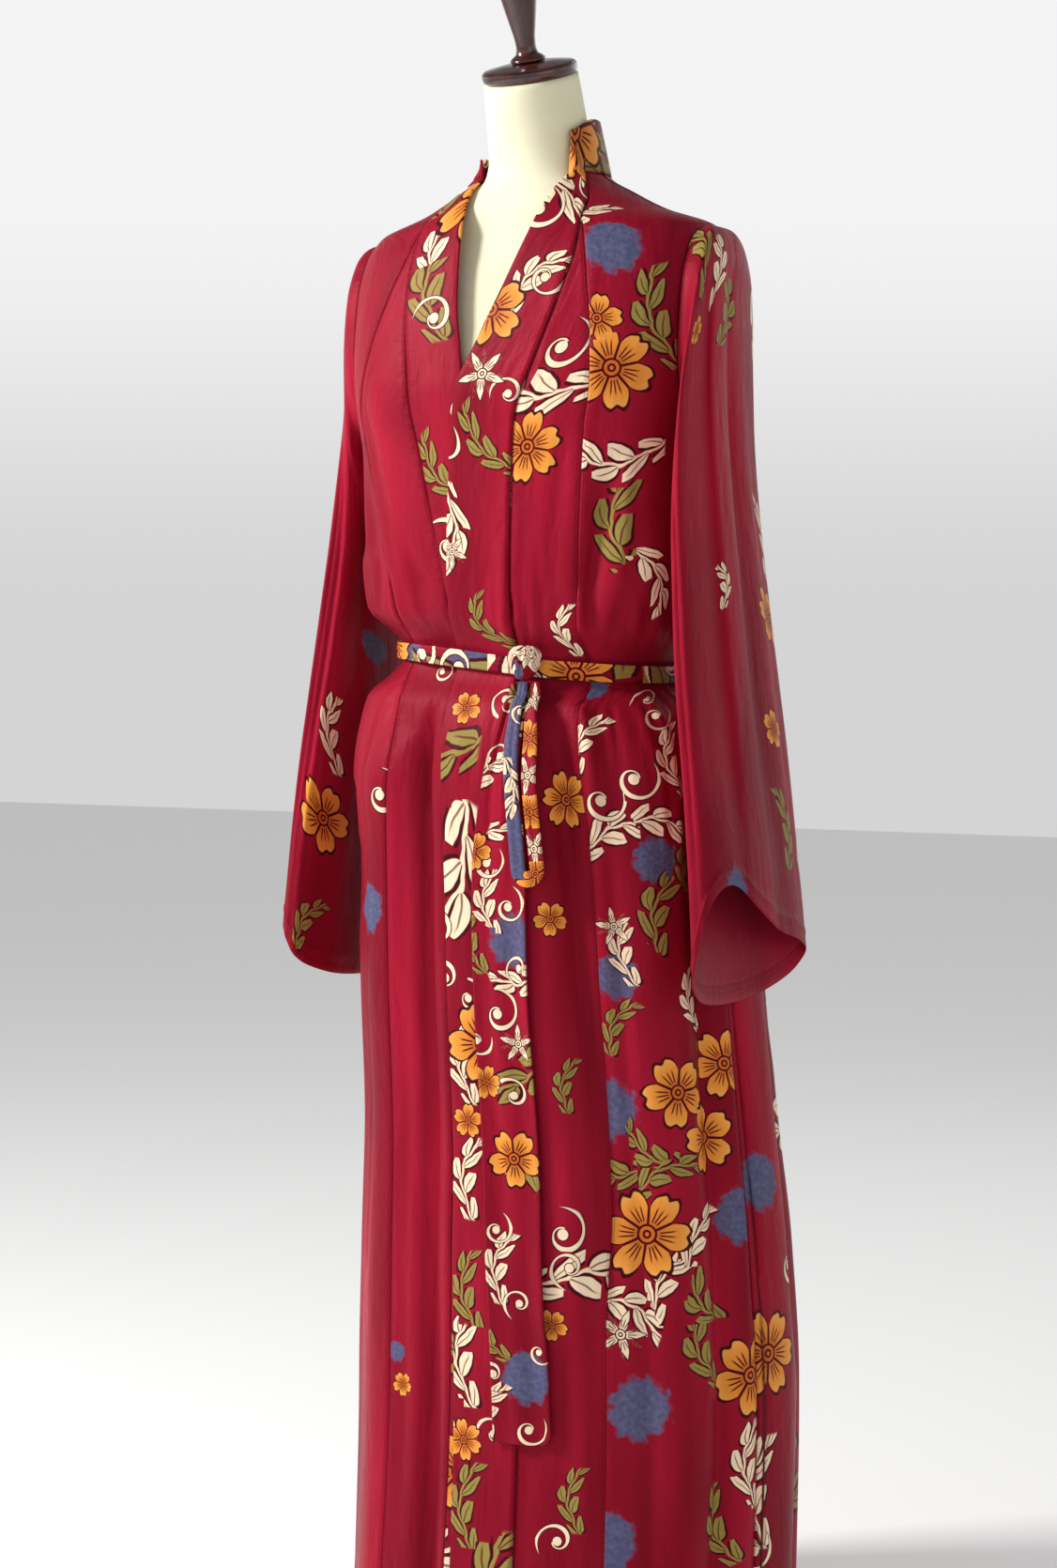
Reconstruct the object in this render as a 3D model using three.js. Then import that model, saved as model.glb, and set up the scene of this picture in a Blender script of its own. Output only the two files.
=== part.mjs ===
// A floor-length kimono robe of printed satin, tied with its own sash, on a limbless dress form.
// Millimetres, +Z up. The front faces -Y and the wearer's left is +X. The origin is on the floor,
// at the middle of the form's round base.
//
// The body of the robe is one hollow surface, given by horizontal sections. Each cut piece is a
// stretch of that surface with a wall of its own, and neighbours stand one seam gap apart.
import * as THREE from "three";

// ---------------------------------------------------------------- driving dimensions

const CLOTH = 2.0; // wall of a single layer of satin
const BAND_CLOTH = 3.0; // the collar band is folded double
const SEAM_GAP = 0.4; // between the walls of two pieces sewn together
const LAYER_DROP = 5.2; // how far the right front lies under the left one
const HEM_Z = 45;
const NECK_Z = 1420; // back neckline, where the collar band starts to stand
const COLLAR_STAND = { left: 52, nape: 40, right: 20 }; // height of the standing band, by side
const ARMHOLE_X = 177.5;
const ARMHOLE_TOP_Z = 1366;
const UNDERARM_Z = 1150;
const BELT_Z = 957;
const BELT_TILT = 12; // the sash runs lower on the wearer's left
const BELT_HEIGHT = 17;
const BELT_THICK = 3.4;
const KNOT_X = 44;
const KNOT_DEPTH = 9; // half its thickness
const TAIL_WIDTH = 58;
const TAIL_END_Z = 224;
const LOOP_END_Z = 757;

const rad = THREE.MathUtils.degToRad;
const { smoothstep } = THREE.MathUtils;

// Horizontal sections of the robe: half width, depth to the front and to the back of the widest
// line, where that line lies in Y, and how square the section is (2 is an ellipse).
const SECTIONS = [
  { z: 45, half: 226, front: 188, back: 190, mid: 48, square: 2 },
  { z: 250, half: 226, front: 184, back: 188, mid: 58, square: 2 },
  { z: 388, half: 219, front: 180, back: 184, mid: 54, square: 2 },
  { z: 506, half: 212, front: 168, back: 172, mid: 44, square: 2 },
  { z: 650, half: 204, front: 160, back: 166, mid: 28, square: 2.1 },
  { z: 780, half: 197, front: 151, back: 154, mid: 16, square: 2.2 },
  { z: 850, half: 192, front: 146, back: 142, mid: 10, square: 2.4 },
  { z: 915, half: 176, front: 128, back: 120, mid: 4, square: 2.4 },
  { z: 934, half: 154, front: 111, back: 105, mid: 1, square: 2.4 },
  { z: 948, half: 141, front: 103, back: 98, mid: 0, square: 2.4 },
  { z: 966, half: 141, front: 103, back: 98, mid: 0, square: 2.4 },
  { z: 980, half: 153, front: 110, back: 105, mid: 0, square: 2.5 },
  { z: 1000, half: 172, front: 121, back: 116, mid: 0, square: 2.6 },
  { z: 1050, half: 176, front: 124, back: 120, mid: 0, square: 2.7 },
  { z: 1150, half: 176.5, front: 126, back: 121, mid: 0, square: 2.8 },
  { z: 1211, half: 187, front: 128, back: 122, mid: 0, square: 2.7 },
  { z: 1262, half: 193, front: 121, back: 121, mid: 0, square: 2.6 },
  { z: 1310, half: 194, front: 110, back: 118, mid: 0, square: 2.5 },
  { z: 1342, half: 190, front: 101, back: 113, mid: 0, square: 2.3 },
  { z: 1366, half: 176.5, front: 92, back: 104, mid: 0, square: 2.1 },
  { z: 1385, half: 125, front: 84, back: 92, mid: 0, square: 2 },
  { z: 1402, half: 91, front: 74, back: 78, mid: 0, square: 2 },
  { z: 1420, half: 62, front: 60, back: 62, mid: 0, square: 2 },
  { z: 1436, half: 58, front: 56, back: 58, mid: 0, square: 2 },
];

// The heights of the rows of points that every body piece shares.
const ROW_SPANS = [
  { from: 45, to: 785, steps: 11 },
  { from: 785, to: 905, steps: 4 },
  { from: 905, to: 1005, steps: 7 },
  { from: 1005, to: 1150, steps: 3 },
  { from: 1150, to: 1366, steps: 6 },
  { from: 1366, to: 1420, steps: 3 },
];

// The collar band of the wearer's left front, which lies on top: where its seam and its free edge
// run, by the height of the seam. The free edge stands higher than the seam on the slanting neck.
const LEFT_BAND = [
  { z: 45, seam: 40, edge: -26, edgeZ: 45 },
  { z: 688, seam: 38, edge: -31, edgeZ: 688 },
  { z: 957, seam: 30, edge: -37, edgeZ: 957 },
  { z: 1060, seam: 32, edge: -35, edgeZ: 1066 },
  { z: 1114, seam: 34, edge: -32, edgeZ: 1136 },
  { z: 1179, seam: 38, edge: -25, edgeZ: 1206 },
  { z: 1240, seam: 58, edge: 0, edgeZ: 1265 },
  { z: 1294, seam: 75, edge: 22, edgeZ: 1318 },
  { z: 1345, seam: 85, edge: 38, edgeZ: 1366 },
  { z: 1385, seam: 80, edge: 48, edgeZ: 1412 },
  { z: 1420, seam: 55, edge: 50, edgeZ: 1458 },
];

// The same for the right front, which goes under: in wearer's right as positive numbers.
const RIGHT_BAND = [
  { z: 45, seam: 39, edge: -26, edgeZ: 45 },
  { z: 688, seam: 34, edge: -31, edgeZ: 688 },
  { z: 957, seam: 35, edge: -30, edgeZ: 957 },
  { z: 1060, seam: 53, edge: -12, edgeZ: 1064 },
  { z: 1150, seam: 73, edge: 9, edgeZ: 1158 },
  { z: 1207, seam: 86, edge: 22, edgeZ: 1214 },
  { z: 1260, seam: 90, edge: 29, edgeZ: 1270 },
  { z: 1320, seam: 92, edge: 37, edgeZ: 1336 },
  { z: 1366, seam: 90, edge: 44, edgeZ: 1388 },
  { z: 1390, seam: 80, edge: 48, edgeZ: 1414 },
  { z: 1420, seam: 55, edge: 50, edgeZ: 1436 },
];

// Width of the overlap panel between the band's seam and the front panel.
const OVERLAP_WIDTHS = [
  { z: 45, width: 84 },
  { z: 780, width: 76 },
  { z: 957, width: 66 },
  { z: 1188, width: 69 },
  { z: 1250, width: 49 },
  { z: 1300, width: 27 },
  { z: 1340, width: 10 },
  { z: 1366, width: 3 },
];

// The largest folds of the body: where each runs round the robe (degrees from the front towards the
// wearer's left) at its upper and lower end, its half width in degrees, and its rise, where a
// negative one is a trough. Each fades out over its last 60 mm.
const BODY_FOLDS = [
  { top: -26, bottom: -20, half: 4.0, rise: -13, from: 45, to: 925 },
  { top: -44, bottom: -42, half: 9.0, rise: 9, from: 45, to: 900 },
  { top: -70, bottom: -64, half: 5.0, rise: -9, from: 45, to: 880 },
  { top: 33, bottom: 42, half: 4.5, rise: -10, from: 380, to: 925 },
  { top: 24, bottom: 26, half: 7.0, rise: 5, from: 300, to: 900 },
  { top: 58, bottom: 58, half: 7.0, rise: 8, from: 45, to: 905 },
  { top: 74, bottom: 69, half: 4.5, rise: -9, from: 45, to: 905 },
  { top: 96, bottom: 94, half: 7.0, rise: 4, from: 45, to: 880 },
  { top: 112, bottom: 108, half: 4.5, rise: -12, from: 45, to: 915 },
  { top: 128, bottom: 124, half: 7.5, rise: 8, from: 45, to: 900 },
  { top: 147, bottom: 143, half: 5.0, rise: -11, from: 45, to: 925 },
  { top: 163, bottom: 160, half: 7.0, rise: 7, from: 45, to: 890 },
  { top: 181, bottom: 178, half: 4.5, rise: -12, from: 45, to: 925 },
  { top: 198, bottom: 197, half: 8.0, rise: 8, from: 45, to: 900 },
  { top: 215, bottom: 217, half: 5.0, rise: -11, from: 45, to: 915 },
  { top: 232, bottom: 236, half: 7.5, rise: 9, from: 45, to: 885 },
  { top: 250, bottom: 255, half: 4.5, rise: -10, from: 45, to: 920 },
  { top: -95, bottom: -90, half: 7.0, rise: 3, from: 45, to: 890 },
  { top: -40, bottom: -27, half: 5.0, rise: -7, from: 985, to: 1080 },
  { top: -62, bottom: -52, half: 6.0, rise: -8, from: 985, to: 1170 },
  { top: 52, bottom: 44, half: 5.0, rise: -7, from: 985, to: 1150 },
  { top: 70, bottom: 60, half: 5.0, rise: 6, from: 985, to: 1120 },
  { top: 152, bottom: 160, half: 6.0, rise: -8, from: 985, to: 1210 },
  { top: 124, bottom: 132, half: 6.0, rise: -6, from: 985, to: 1130 },
  { top: 204, bottom: 198, half: 6.0, rise: -8, from: 985, to: 1230 },
  { top: 232, bottom: 226, half: 6.0, rise: -6, from: 985, to: 1120 },
];

// One hanging sleeve, ring by ring from the armhole to the cuff: the ring's outer and inner points,
// its half depth from front to back, and how far its middle lies forward of the shoulder line.
const SLEEVE_RINGS = [
  { outX: 177.7, outZ: 1366, inX: 177.7, inZ: 1150, depth: 66 },
  { outX: 190, outZ: 1361, inX: 181, inZ: 1141, depth: 67 },
  { outX: 198, outZ: 1350, inX: 183, inZ: 1128, depth: 68 },
  { outX: 202, outZ: 1330, inX: 184, inZ: 1112, depth: 70 },
  { outX: 204, outZ: 1296, inX: 184.5, inZ: 1088, depth: 72 },
  { outX: 206, outZ: 1246, inX: 185, inZ: 1056, depth: 75 },
  { outX: 210, outZ: 1186, inX: 186, inZ: 1016, depth: 79 },
  { outX: 216, outZ: 1116, inX: 188, inZ: 970, depth: 83 },
  { outX: 224, outZ: 1040, inX: 191, inZ: 920, depth: 88 },
  { outX: 232, outZ: 962, inX: 198, inZ: 866, depth: 93 },
  { outX: 241, outZ: 886, inX: 205, inZ: 808, depth: 97 },
  { outX: 249, outZ: 814, inX: 210, inZ: 748, depth: 101 },
  { outX: 256, outZ: 752, inX: 213, inZ: 692, depth: 104 },
  { outX: 260, outZ: 704, inX: 216, inZ: 640, depth: 107 },
];
const RING_STEPS = 24;

// What sets each sleeve apart: how far its cuff hangs forward and swings out, how much the front of
// the cuff is lifted, and its folds round the ring (0 degrees is outwards, 90 is the front).
const SLEEVES = [
  {
    name: "sleeve_left",
    side: 1,
    forward: 34,
    swing: 0,
    lift: 62,
    folds: [
      { at: 34, half: 13, rise: -15, from: 0.16, to: 0.97 },
      { at: 66, half: 14, rise: 5, from: 0.2, to: 0.9 },
      { at: 338, half: 13, rise: -10, from: 0.3, to: 0.95 },
      { at: 292, half: 15, rise: 6, from: 0.2, to: 0.9 },
      { at: 128, half: 14, rise: -8, from: 0.25, to: 0.8 },
      { at: 226, half: 14, rise: -9, from: 0.25, to: 0.85 },
    ],
  },
  {
    name: "sleeve_right",
    side: -1,
    forward: -34,
    swing: 16,
    lift: 12,
    folds: [
      { at: 22, half: 13, rise: -10, from: 0.22, to: 0.8 },
      { at: 58, half: 14, rise: 6, from: 0.3, to: 0.95 },
      { at: 90, half: 12, rise: -7, from: 0.35, to: 0.9 },
      { at: 318, half: 14, rise: -12, from: 0.2, to: 0.95 },
      { at: 134, half: 14, rise: -8, from: 0.25, to: 0.8 },
      { at: 232, half: 14, rise: -8, from: 0.25, to: 0.85 },
    ],
  },
];

// The dress form: sections of its torso, and the turned pieces round its leaning neck axis.
const FORM_SECTIONS = [
  { z: 716, half: 128, front: 84, back: 92, mid: 8 },
  { z: 722, half: 142, front: 96, back: 106, mid: 8 },
  { z: 790, half: 156, front: 106, back: 120, mid: 8 },
  { z: 860, half: 154, front: 106, back: 114, mid: 5 },
  { z: 920, half: 134, front: 93, back: 92, mid: 2 },
  { z: 958, half: 121, front: 86, back: 82, mid: 0 },
  { z: 1010, half: 125, front: 92, back: 84, mid: 0 },
  { z: 1090, half: 138, front: 102, back: 92, mid: 0 },
  { z: 1170, half: 150, front: 114, back: 100, mid: 0 },
  { z: 1215, half: 156, front: 117, back: 104, mid: 0 },
  { z: 1270, half: 162, front: 107, back: 106, mid: 0 },
  { z: 1320, half: 168, front: 94, back: 100, mid: 0 },
  { z: 1348, half: 169, front: 82, back: 92, mid: 0 },
  { z: 1363, half: 166, front: 76, back: 84, mid: 0 },
  { z: 1384, half: 122.9, front: 75, back: 84, mid: -1 },
  { z: 1401, half: 88.4, front: 65, back: 72, mid: -2 },
  { z: 1418, half: 57.5, front: 52, back: 55, mid: -5 },
  { z: 1440, half: 49.5, front: 48, back: 49, mid: -11 },
  { z: 1470, half: 47.5, front: 47, back: 48, mid: -18 },
  { z: 1511, half: 45, front: 45, back: 45, mid: -29.5 },
];
const FORM_STEPS = 30;
const NECK_TOP = new THREE.Vector3(0, -29.5, 1511); // the middle of the torso's last section
const NECK_LEAN = 17; // the cap faces this many degrees forward of straight up
const CAP_RADIUS = 45;
const POLE_RADIUS = 14;
const BASE_RADIUS = 160;

// ---------------------------------------------------------------- reading the tables

// A value between the rows of a table, along a smooth curve that does not overshoot them.
function between(rows, by, column, at) {
  const last = rows.length - 1;
  if (at <= rows[0][by]) return rows[0][column];
  if (at >= rows[last][by]) return rows[last][column];
  let i = 0;
  while (rows[i + 1][by] < at) i++;
  const slope = (k) => {
    if (k < 0 || k >= last) return 0;
    return (rows[k + 1][column] - rows[k][column]) / (rows[k + 1][by] - rows[k][by]);
  };
  const tangent = (k) => {
    if (k === 0) return slope(0);
    if (k === last) return slope(last - 1);
    const a = slope(k - 1);
    const b = slope(k);
    return a * b <= 0 ? 0 : (2 * a * b) / (a + b);
  };
  const step = rows[i + 1][by] - rows[i][by];
  const t = (at - rows[i][by]) / step;
  const rise = t * t * (3 - 2 * t);
  return (
    rows[i][column] * (1 - rise) +
    rows[i + 1][column] * rise +
    step * t * (1 - t) * ((1 - t) * tangent(i) - t * tangent(i + 1))
  );
}

function rowHeights() {
  const rows = [HEM_Z];
  for (const { from, to, steps } of ROW_SPANS)
    for (let k = 1; k <= steps; k++) rows.push(from + ((to - from) * k) / steps);
  return rows;
}
const ROWS = rowHeights();

// ---------------------------------------------------------------- the robe's surface

// Distance of a section from its middle at an angle from the front.
function sectionRadius(section, angle) {
  const depth = Math.cos(angle) > 0 ? section.front : section.back;
  const across = Math.abs(Math.sin(angle) / section.half) ** section.square;
  const along = Math.abs(Math.cos(angle) / depth) ** section.square;
  return (across + along) ** (-1 / section.square);
}

function robeSection(z) {
  const section = {};
  for (const column of ["half", "front", "back", "mid", "square"])
    section[column] = between(SECTIONS, "z", column, z);
  return section;
}

// Rise of the folds. They die out beside the armhole, whose edge stays a plane.
function foldRise(degrees, z) {
  let rise = 0;
  for (const fold of BODY_FOLDS) {
    const t = (z - fold.from) / (fold.to - fold.from);
    if (t < -0.2 || t > 1) continue;
    const at = fold.bottom + (fold.top - fold.bottom) * t;
    let away = (degrees - at) % 360;
    if (away > 180) away -= 360;
    if (away < -180) away += 360;
    const fade = Math.min(1, (fold.to - z) / 60, fold.from === HEM_Z ? 1 : (z - fold.from) / 60);
    rise += fold.rise * Math.exp(-((away / fold.half) ** 2)) * smoothstep(fade, 0, 1);
  }
  const besideArm =
    smoothstep(Math.abs(Math.sin(rad(degrees))), 0.75, 0.95) * smoothstep(z, 1080, 1150);
  return rise * (1 - besideArm);
}

// A point of the robe's surface. Degrees run from the front towards the wearer's left.
function robePoint(degrees, z, out = 0) {
  const nearBelt = Math.exp(-(((z - BELT_Z) / 90) ** 2));
  const section = robeSection(z + BELT_TILT * Math.sin(rad(degrees)) * nearBelt);
  const angle = rad(degrees);
  const radius = sectionRadius(section, angle) + foldRise(degrees, z) + out;
  return new THREE.Vector3(radius * Math.sin(angle), section.mid - radius * Math.cos(angle), z);
}

function robeNormal(degrees, z) {
  const round = robePoint(degrees + 0.5, z).sub(robePoint(degrees - 0.5, z));
  const up = robePoint(degrees, z + 2).sub(robePoint(degrees, z - 2));
  return round.cross(up).normalize();
}

// The angle of the front's point that lies at x, and one sideways millimetre there in degrees.
function frontAngle(x, z) {
  let low = -90;
  let high = 90;
  for (let k = 0; k < 30; k++) {
    const middle = (low + high) / 2;
    if (robePoint(middle, z).x < x) low = middle;
    else high = middle;
  }
  return (low + high) / 2;
}
const degreesPerMm = (z) => 57.3 / Math.max(60, robeSection(z).front + robeSection(z).mid);

// The side seam swings forward down the skirt.
const sideAngle = (z) => 90 - 9 * smoothstep(1120 - z, 0, 420);

// Half the depth of the armhole at a height, to the front or to the back.
function armholeDepth(z, depthColumn) {
  const section = robeSection(z);
  const share = 1 - Math.min(1, (ARMHOLE_X / section.half) ** section.square);
  return section[depthColumn] * share ** (1 / section.square);
}

// Where a front or back panel ends at its side: the side seam, the armhole or the shoulder seam.
function panelEnd(z, toFront) {
  if (z <= UNDERARM_Z) return sideAngle(z);
  if (z >= ARMHOLE_TOP_Z) return 90;
  const depth = armholeDepth(z, toFront ? "front" : "back");
  const angle = THREE.MathUtils.radToDeg(Math.atan2(ARMHOLE_X, depth));
  return toFront ? angle : 180 - angle;
}

const atArmhole = (z) => z > UNDERARM_Z + 1 && z < ARMHOLE_TOP_Z - 1;

// How far the right front is dropped under the left one, by place.
function layerDrop(degrees, z) {
  const inFront = smoothstep(degrees, -52, -30);
  return -LAYER_DROP * inFront * (1 - smoothstep(z, 1222, 1300));
}

// ---------------------------------------------------------------- walls

// A closed wall from a grid of points. at(row, column) gives its place and the two faces' offsets.
function wall(rowCount, columnCount, at, ring = false) {
  const positions = [];
  for (let r = 0; r < rowCount; r++)
    for (let c = 0; c < columnCount; c++) {
      const { point, normal, out, back } = at(r, c);
      positions.push(...point.clone().addScaledVector(normal, out));
      positions.push(...point.clone().addScaledVector(normal, -back));
    }
  const outer = (r, c) => 2 * (r * columnCount + (c % columnCount));
  const inner = (r, c) => outer(r, c) + 1;
  const faces = [];
  const quad = (a, b, c, d) => faces.push(a, b, c, a, c, d);
  const spans = ring ? columnCount : columnCount - 1;
  for (let r = 0; r + 1 < rowCount; r++)
    for (let c = 0; c < spans; c++) {
      quad(outer(r, c), outer(r, c + 1), outer(r + 1, c + 1), outer(r + 1, c));
      quad(inner(r, c), inner(r + 1, c), inner(r + 1, c + 1), inner(r, c + 1));
    }
  for (let c = 0; c < spans; c++) {
    quad(outer(0, c), inner(0, c), inner(0, c + 1), outer(0, c + 1));
    const r = rowCount - 1;
    quad(outer(r, c), outer(r, c + 1), inner(r, c + 1), inner(r, c));
  }
  if (!ring)
    for (let r = 0; r + 1 < rowCount; r++) {
      quad(outer(r, 0), outer(r + 1, 0), inner(r + 1, 0), inner(r, 0));
      const c = columnCount - 1;
      quad(outer(r, c), inner(r, c), inner(r + 1, c), outer(r + 1, c));
    }
  return facingOut(positions, faces);
}

// The indexed geometry, turned round if its faces point inwards.
function facingOut(positions, faces) {
  const corner = (k) => new THREE.Vector3().fromArray(positions, 3 * faces[k]);
  let volume = 0;
  for (let k = 0; k < faces.length; k += 3)
    volume += corner(k).dot(corner(k + 1).cross(corner(k + 2)));
  if (volume < 0)
    for (let k = 0; k < faces.length; k += 3)
      [faces[k], faces[k + 1]] = [faces[k + 1], faces[k]];
  const geometry = new THREE.BufferGeometry();
  geometry.setAttribute("position", new THREE.Float32BufferAttribute(positions, 3));
  geometry.setIndex(faces);
  geometry.computeVertexNormals();
  return geometry;
}

// Normals of a grid of points, from the steps along its rows and columns.
function gridNormals(grid, ring = false) {
  const rowCount = grid.length;
  const columnCount = grid[0].length;
  return grid.map((line, r) =>
    line.map((_, c) => {
      const up = grid[Math.min(r + 1, rowCount - 1)][c]
        .clone()
        .sub(grid[Math.max(r - 1, 0)][c]);
      const right = ring ? (c + 1) % columnCount : Math.min(c + 1, columnCount - 1);
      const left = ring ? (c + columnCount - 1) % columnCount : Math.max(c - 1, 0);
      return line[right].clone().sub(line[left]).cross(up).normalize();
    }),
  );
}

const flattened = (normal, axis) => {
  const flat = normal.clone();
  flat[axis] = 0;
  return flat.normalize();
};

// ---------------------------------------------------------------- body panels

// A panel between two angles that change with the height. The flags say which of its edges meets
// the armhole, and whether the top edge is the back neckline.
function panel({ rows, columns, start, end, side = 1, drop = () => 0, armEdges = [], neck }) {
  return wall(rows.length, columns + 1, (r, c) => {
    const z = rows[r];
    const degrees = start(z) + ((end(z) - start(z)) * c) / columns;
    const down = drop(degrees * side, z);
    const point = robePoint(degrees * side, z, down);
    let normal = robeNormal(degrees * side, z);
    if (armEdges.includes(c) && atArmhole(z)) {
      point.x = Math.sign(point.x) * (ARMHOLE_X - SEAM_GAP / 2);
      normal = flattened(normal, "x");
    }
    if (neck && r === rows.length - 1) {
      point.z = z - SEAM_GAP / 2;
      normal = flattened(normal, "z");
    }
    return { point, normal, out: CLOTH / 2, back: CLOTH / 2 };
  });
}

const seamTrim = (z) => (SEAM_GAP / 2) * degreesPerMm(z);
const shoulderTrim = (z) => (z > ARMHOLE_TOP_Z - 1 ? SEAM_GAP * degreesPerMm(z) : seamTrim(z));
const overlapRows = ROWS.filter((z) => z <= ARMHOLE_TOP_Z);

function fronts(side) {
  const table = side > 0 ? LEFT_BAND : RIGHT_BAND;
  const drop = side > 0 ? () => 0 : layerDrop;
  const seamX = (z) => between(table, "z", "seam", z);
  const bandSeam = (z) => side * frontAngle(side * seamX(z), z);
  const overlapSeam = (z) => {
    const width = z > ARMHOLE_TOP_Z ? 0 : between(OVERLAP_WIDTHS, "z", "width", z);
    return side * frontAngle(side * (seamX(z) + width), z);
  };
  const front = panel({
    rows: ROWS,
    columns: 12,
    start: (z) => overlapSeam(z) + seamTrim(z),
    end: (z) => panelEnd(z, true) - shoulderTrim(z),
    side,
    drop,
    armEdges: [12],
    neck: true,
  });
  const overlap = panel({
    rows: overlapRows,
    columns: 4,
    start: (z) => bandSeam(z) + seamTrim(z),
    end: (z) => overlapSeam(z) - seamTrim(z),
    side,
    drop,
  });
  return { front, overlap, table, bandSeam, drop };
}

function backPanel() {
  const columns = 32;
  return panel({
    rows: ROWS,
    columns,
    start: (z) => panelEnd(z, false) + shoulderTrim(z),
    end: (z) => 360 - panelEnd(z, false) - shoulderTrim(z),
    armEdges: [0, columns],
    neck: true,
  });
}

// ---------------------------------------------------------------- collar band

// One half of the band: up the front edge on the rows of the body, then standing round the neck to
// the centre back. Its seam side keeps the body's own normal, so that it stays parallel there.
function band({ table, bandSeam, drop }, side) {
  const across = 3;
  const neckStations = 7;
  const neckRing = (degrees, lift) => {
    const base = robePoint(side * degrees, NECK_Z);
    const lean = lift / COLLAR_STAND.left;
    return new THREE.Vector3(base.x * (1 - 0.12 * lean), base.y * (1 - 0.08 * lean), NECK_Z + lift);
  };
  const sideStand = side > 0 ? COLLAR_STAND.left : COLLAR_STAND.right;
  const stations = [];
  for (const z of ROWS) {
    const seamAngle = bandSeam(z);
    const trimmed = side * (seamAngle - seamTrim(z));
    const seam = robePoint(trimmed, z, drop(trimmed, z));
    const edgeZ = between(table, "z", "edgeZ", z);
    const edgeX = side * between(table, "z", "edge", z);
    const standing = smoothstep(z, 1366, NECK_Z);
    const lyingZ = Math.min(edgeZ, NECK_Z - 2);
    const edgeAngle = frontAngle(edgeX, lyingZ);
    const edge = robePoint(edgeAngle, lyingZ, drop(edgeAngle, lyingZ));
    edge.z = edgeZ;
    if (z === NECK_Z) seam.z = z + SEAM_GAP / 2;
    const normal = robeNormal(trimmed, z);
    stations.push({ seam, edge, seamNormal: z === NECK_Z ? flattened(normal, "z") : normal, standing });
  }
  const firstAngle = bandSeam(NECK_Z);
  const rise = stations.at(-1).edge.z - NECK_Z;
  for (let k = 1; k <= neckStations; k++) {
    const t = k / neckStations;
    const nape = 180 - (k === neckStations ? seamTrim(NECK_Z) : 0);
    const degrees = firstAngle + (nape - firstAngle) * t;
    const atSide = rise + (sideStand - rise) * smoothstep(t, 0, 0.35);
    const lift = atSide + (COLLAR_STAND.nape - atSide) * smoothstep(t, 0.35, 1);
    const start = stations[ROWS.length - 1].edge;
    const edge = neckRing(degrees, lift).lerp(
      new THREE.Vector3(start.x, start.y, NECK_Z + lift),
      (1 - t) ** 4 * (k < 3 ? 1 : 0),
    );
    const seam = neckRing(degrees, SEAM_GAP / 2);
    seam.z = NECK_Z + SEAM_GAP / 2;
    const seamNormal = flattened(robeNormal(side * degrees, NECK_Z), "z");
    stations.push({ seam, edge, seamNormal, standing: 1 });
  }
  const grid = stations.map(({ seam, edge }) => {
    const line = [];
    for (let c = 0; c <= across; c++) line.push(seam.clone().lerp(edge, c / across));
    return line;
  });
  // Between its two edges the lying part of the band follows the body.
  stations.forEach(({ standing }, r) => {
    for (let c = 1; c < across; c++) {
      const point = grid[r][c];
      if (point.z >= NECK_Z - 2) continue;
      const degrees = frontAngle(point.x, point.z);
      const onBody = robePoint(degrees, point.z, drop(degrees, point.z));
      point.lerp(onBody, 1 - standing);
    }
  });
  const normals = gridNormals(grid);
  return wall(stations.length, across + 1, (r, c) => {
    const point = grid[r][c];
    let normal = normals[r][c].multiplyScalar(-side);
    if (c === 0) normal = stations[r].seamNormal;
    if (r === stations.length - 1) normal = flattened(normal, "x");
    return { point, normal, out: BAND_CLOTH / 2, back: BAND_CLOTH / 2 };
  });
}

// ---------------------------------------------------------------- sleeves

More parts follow.
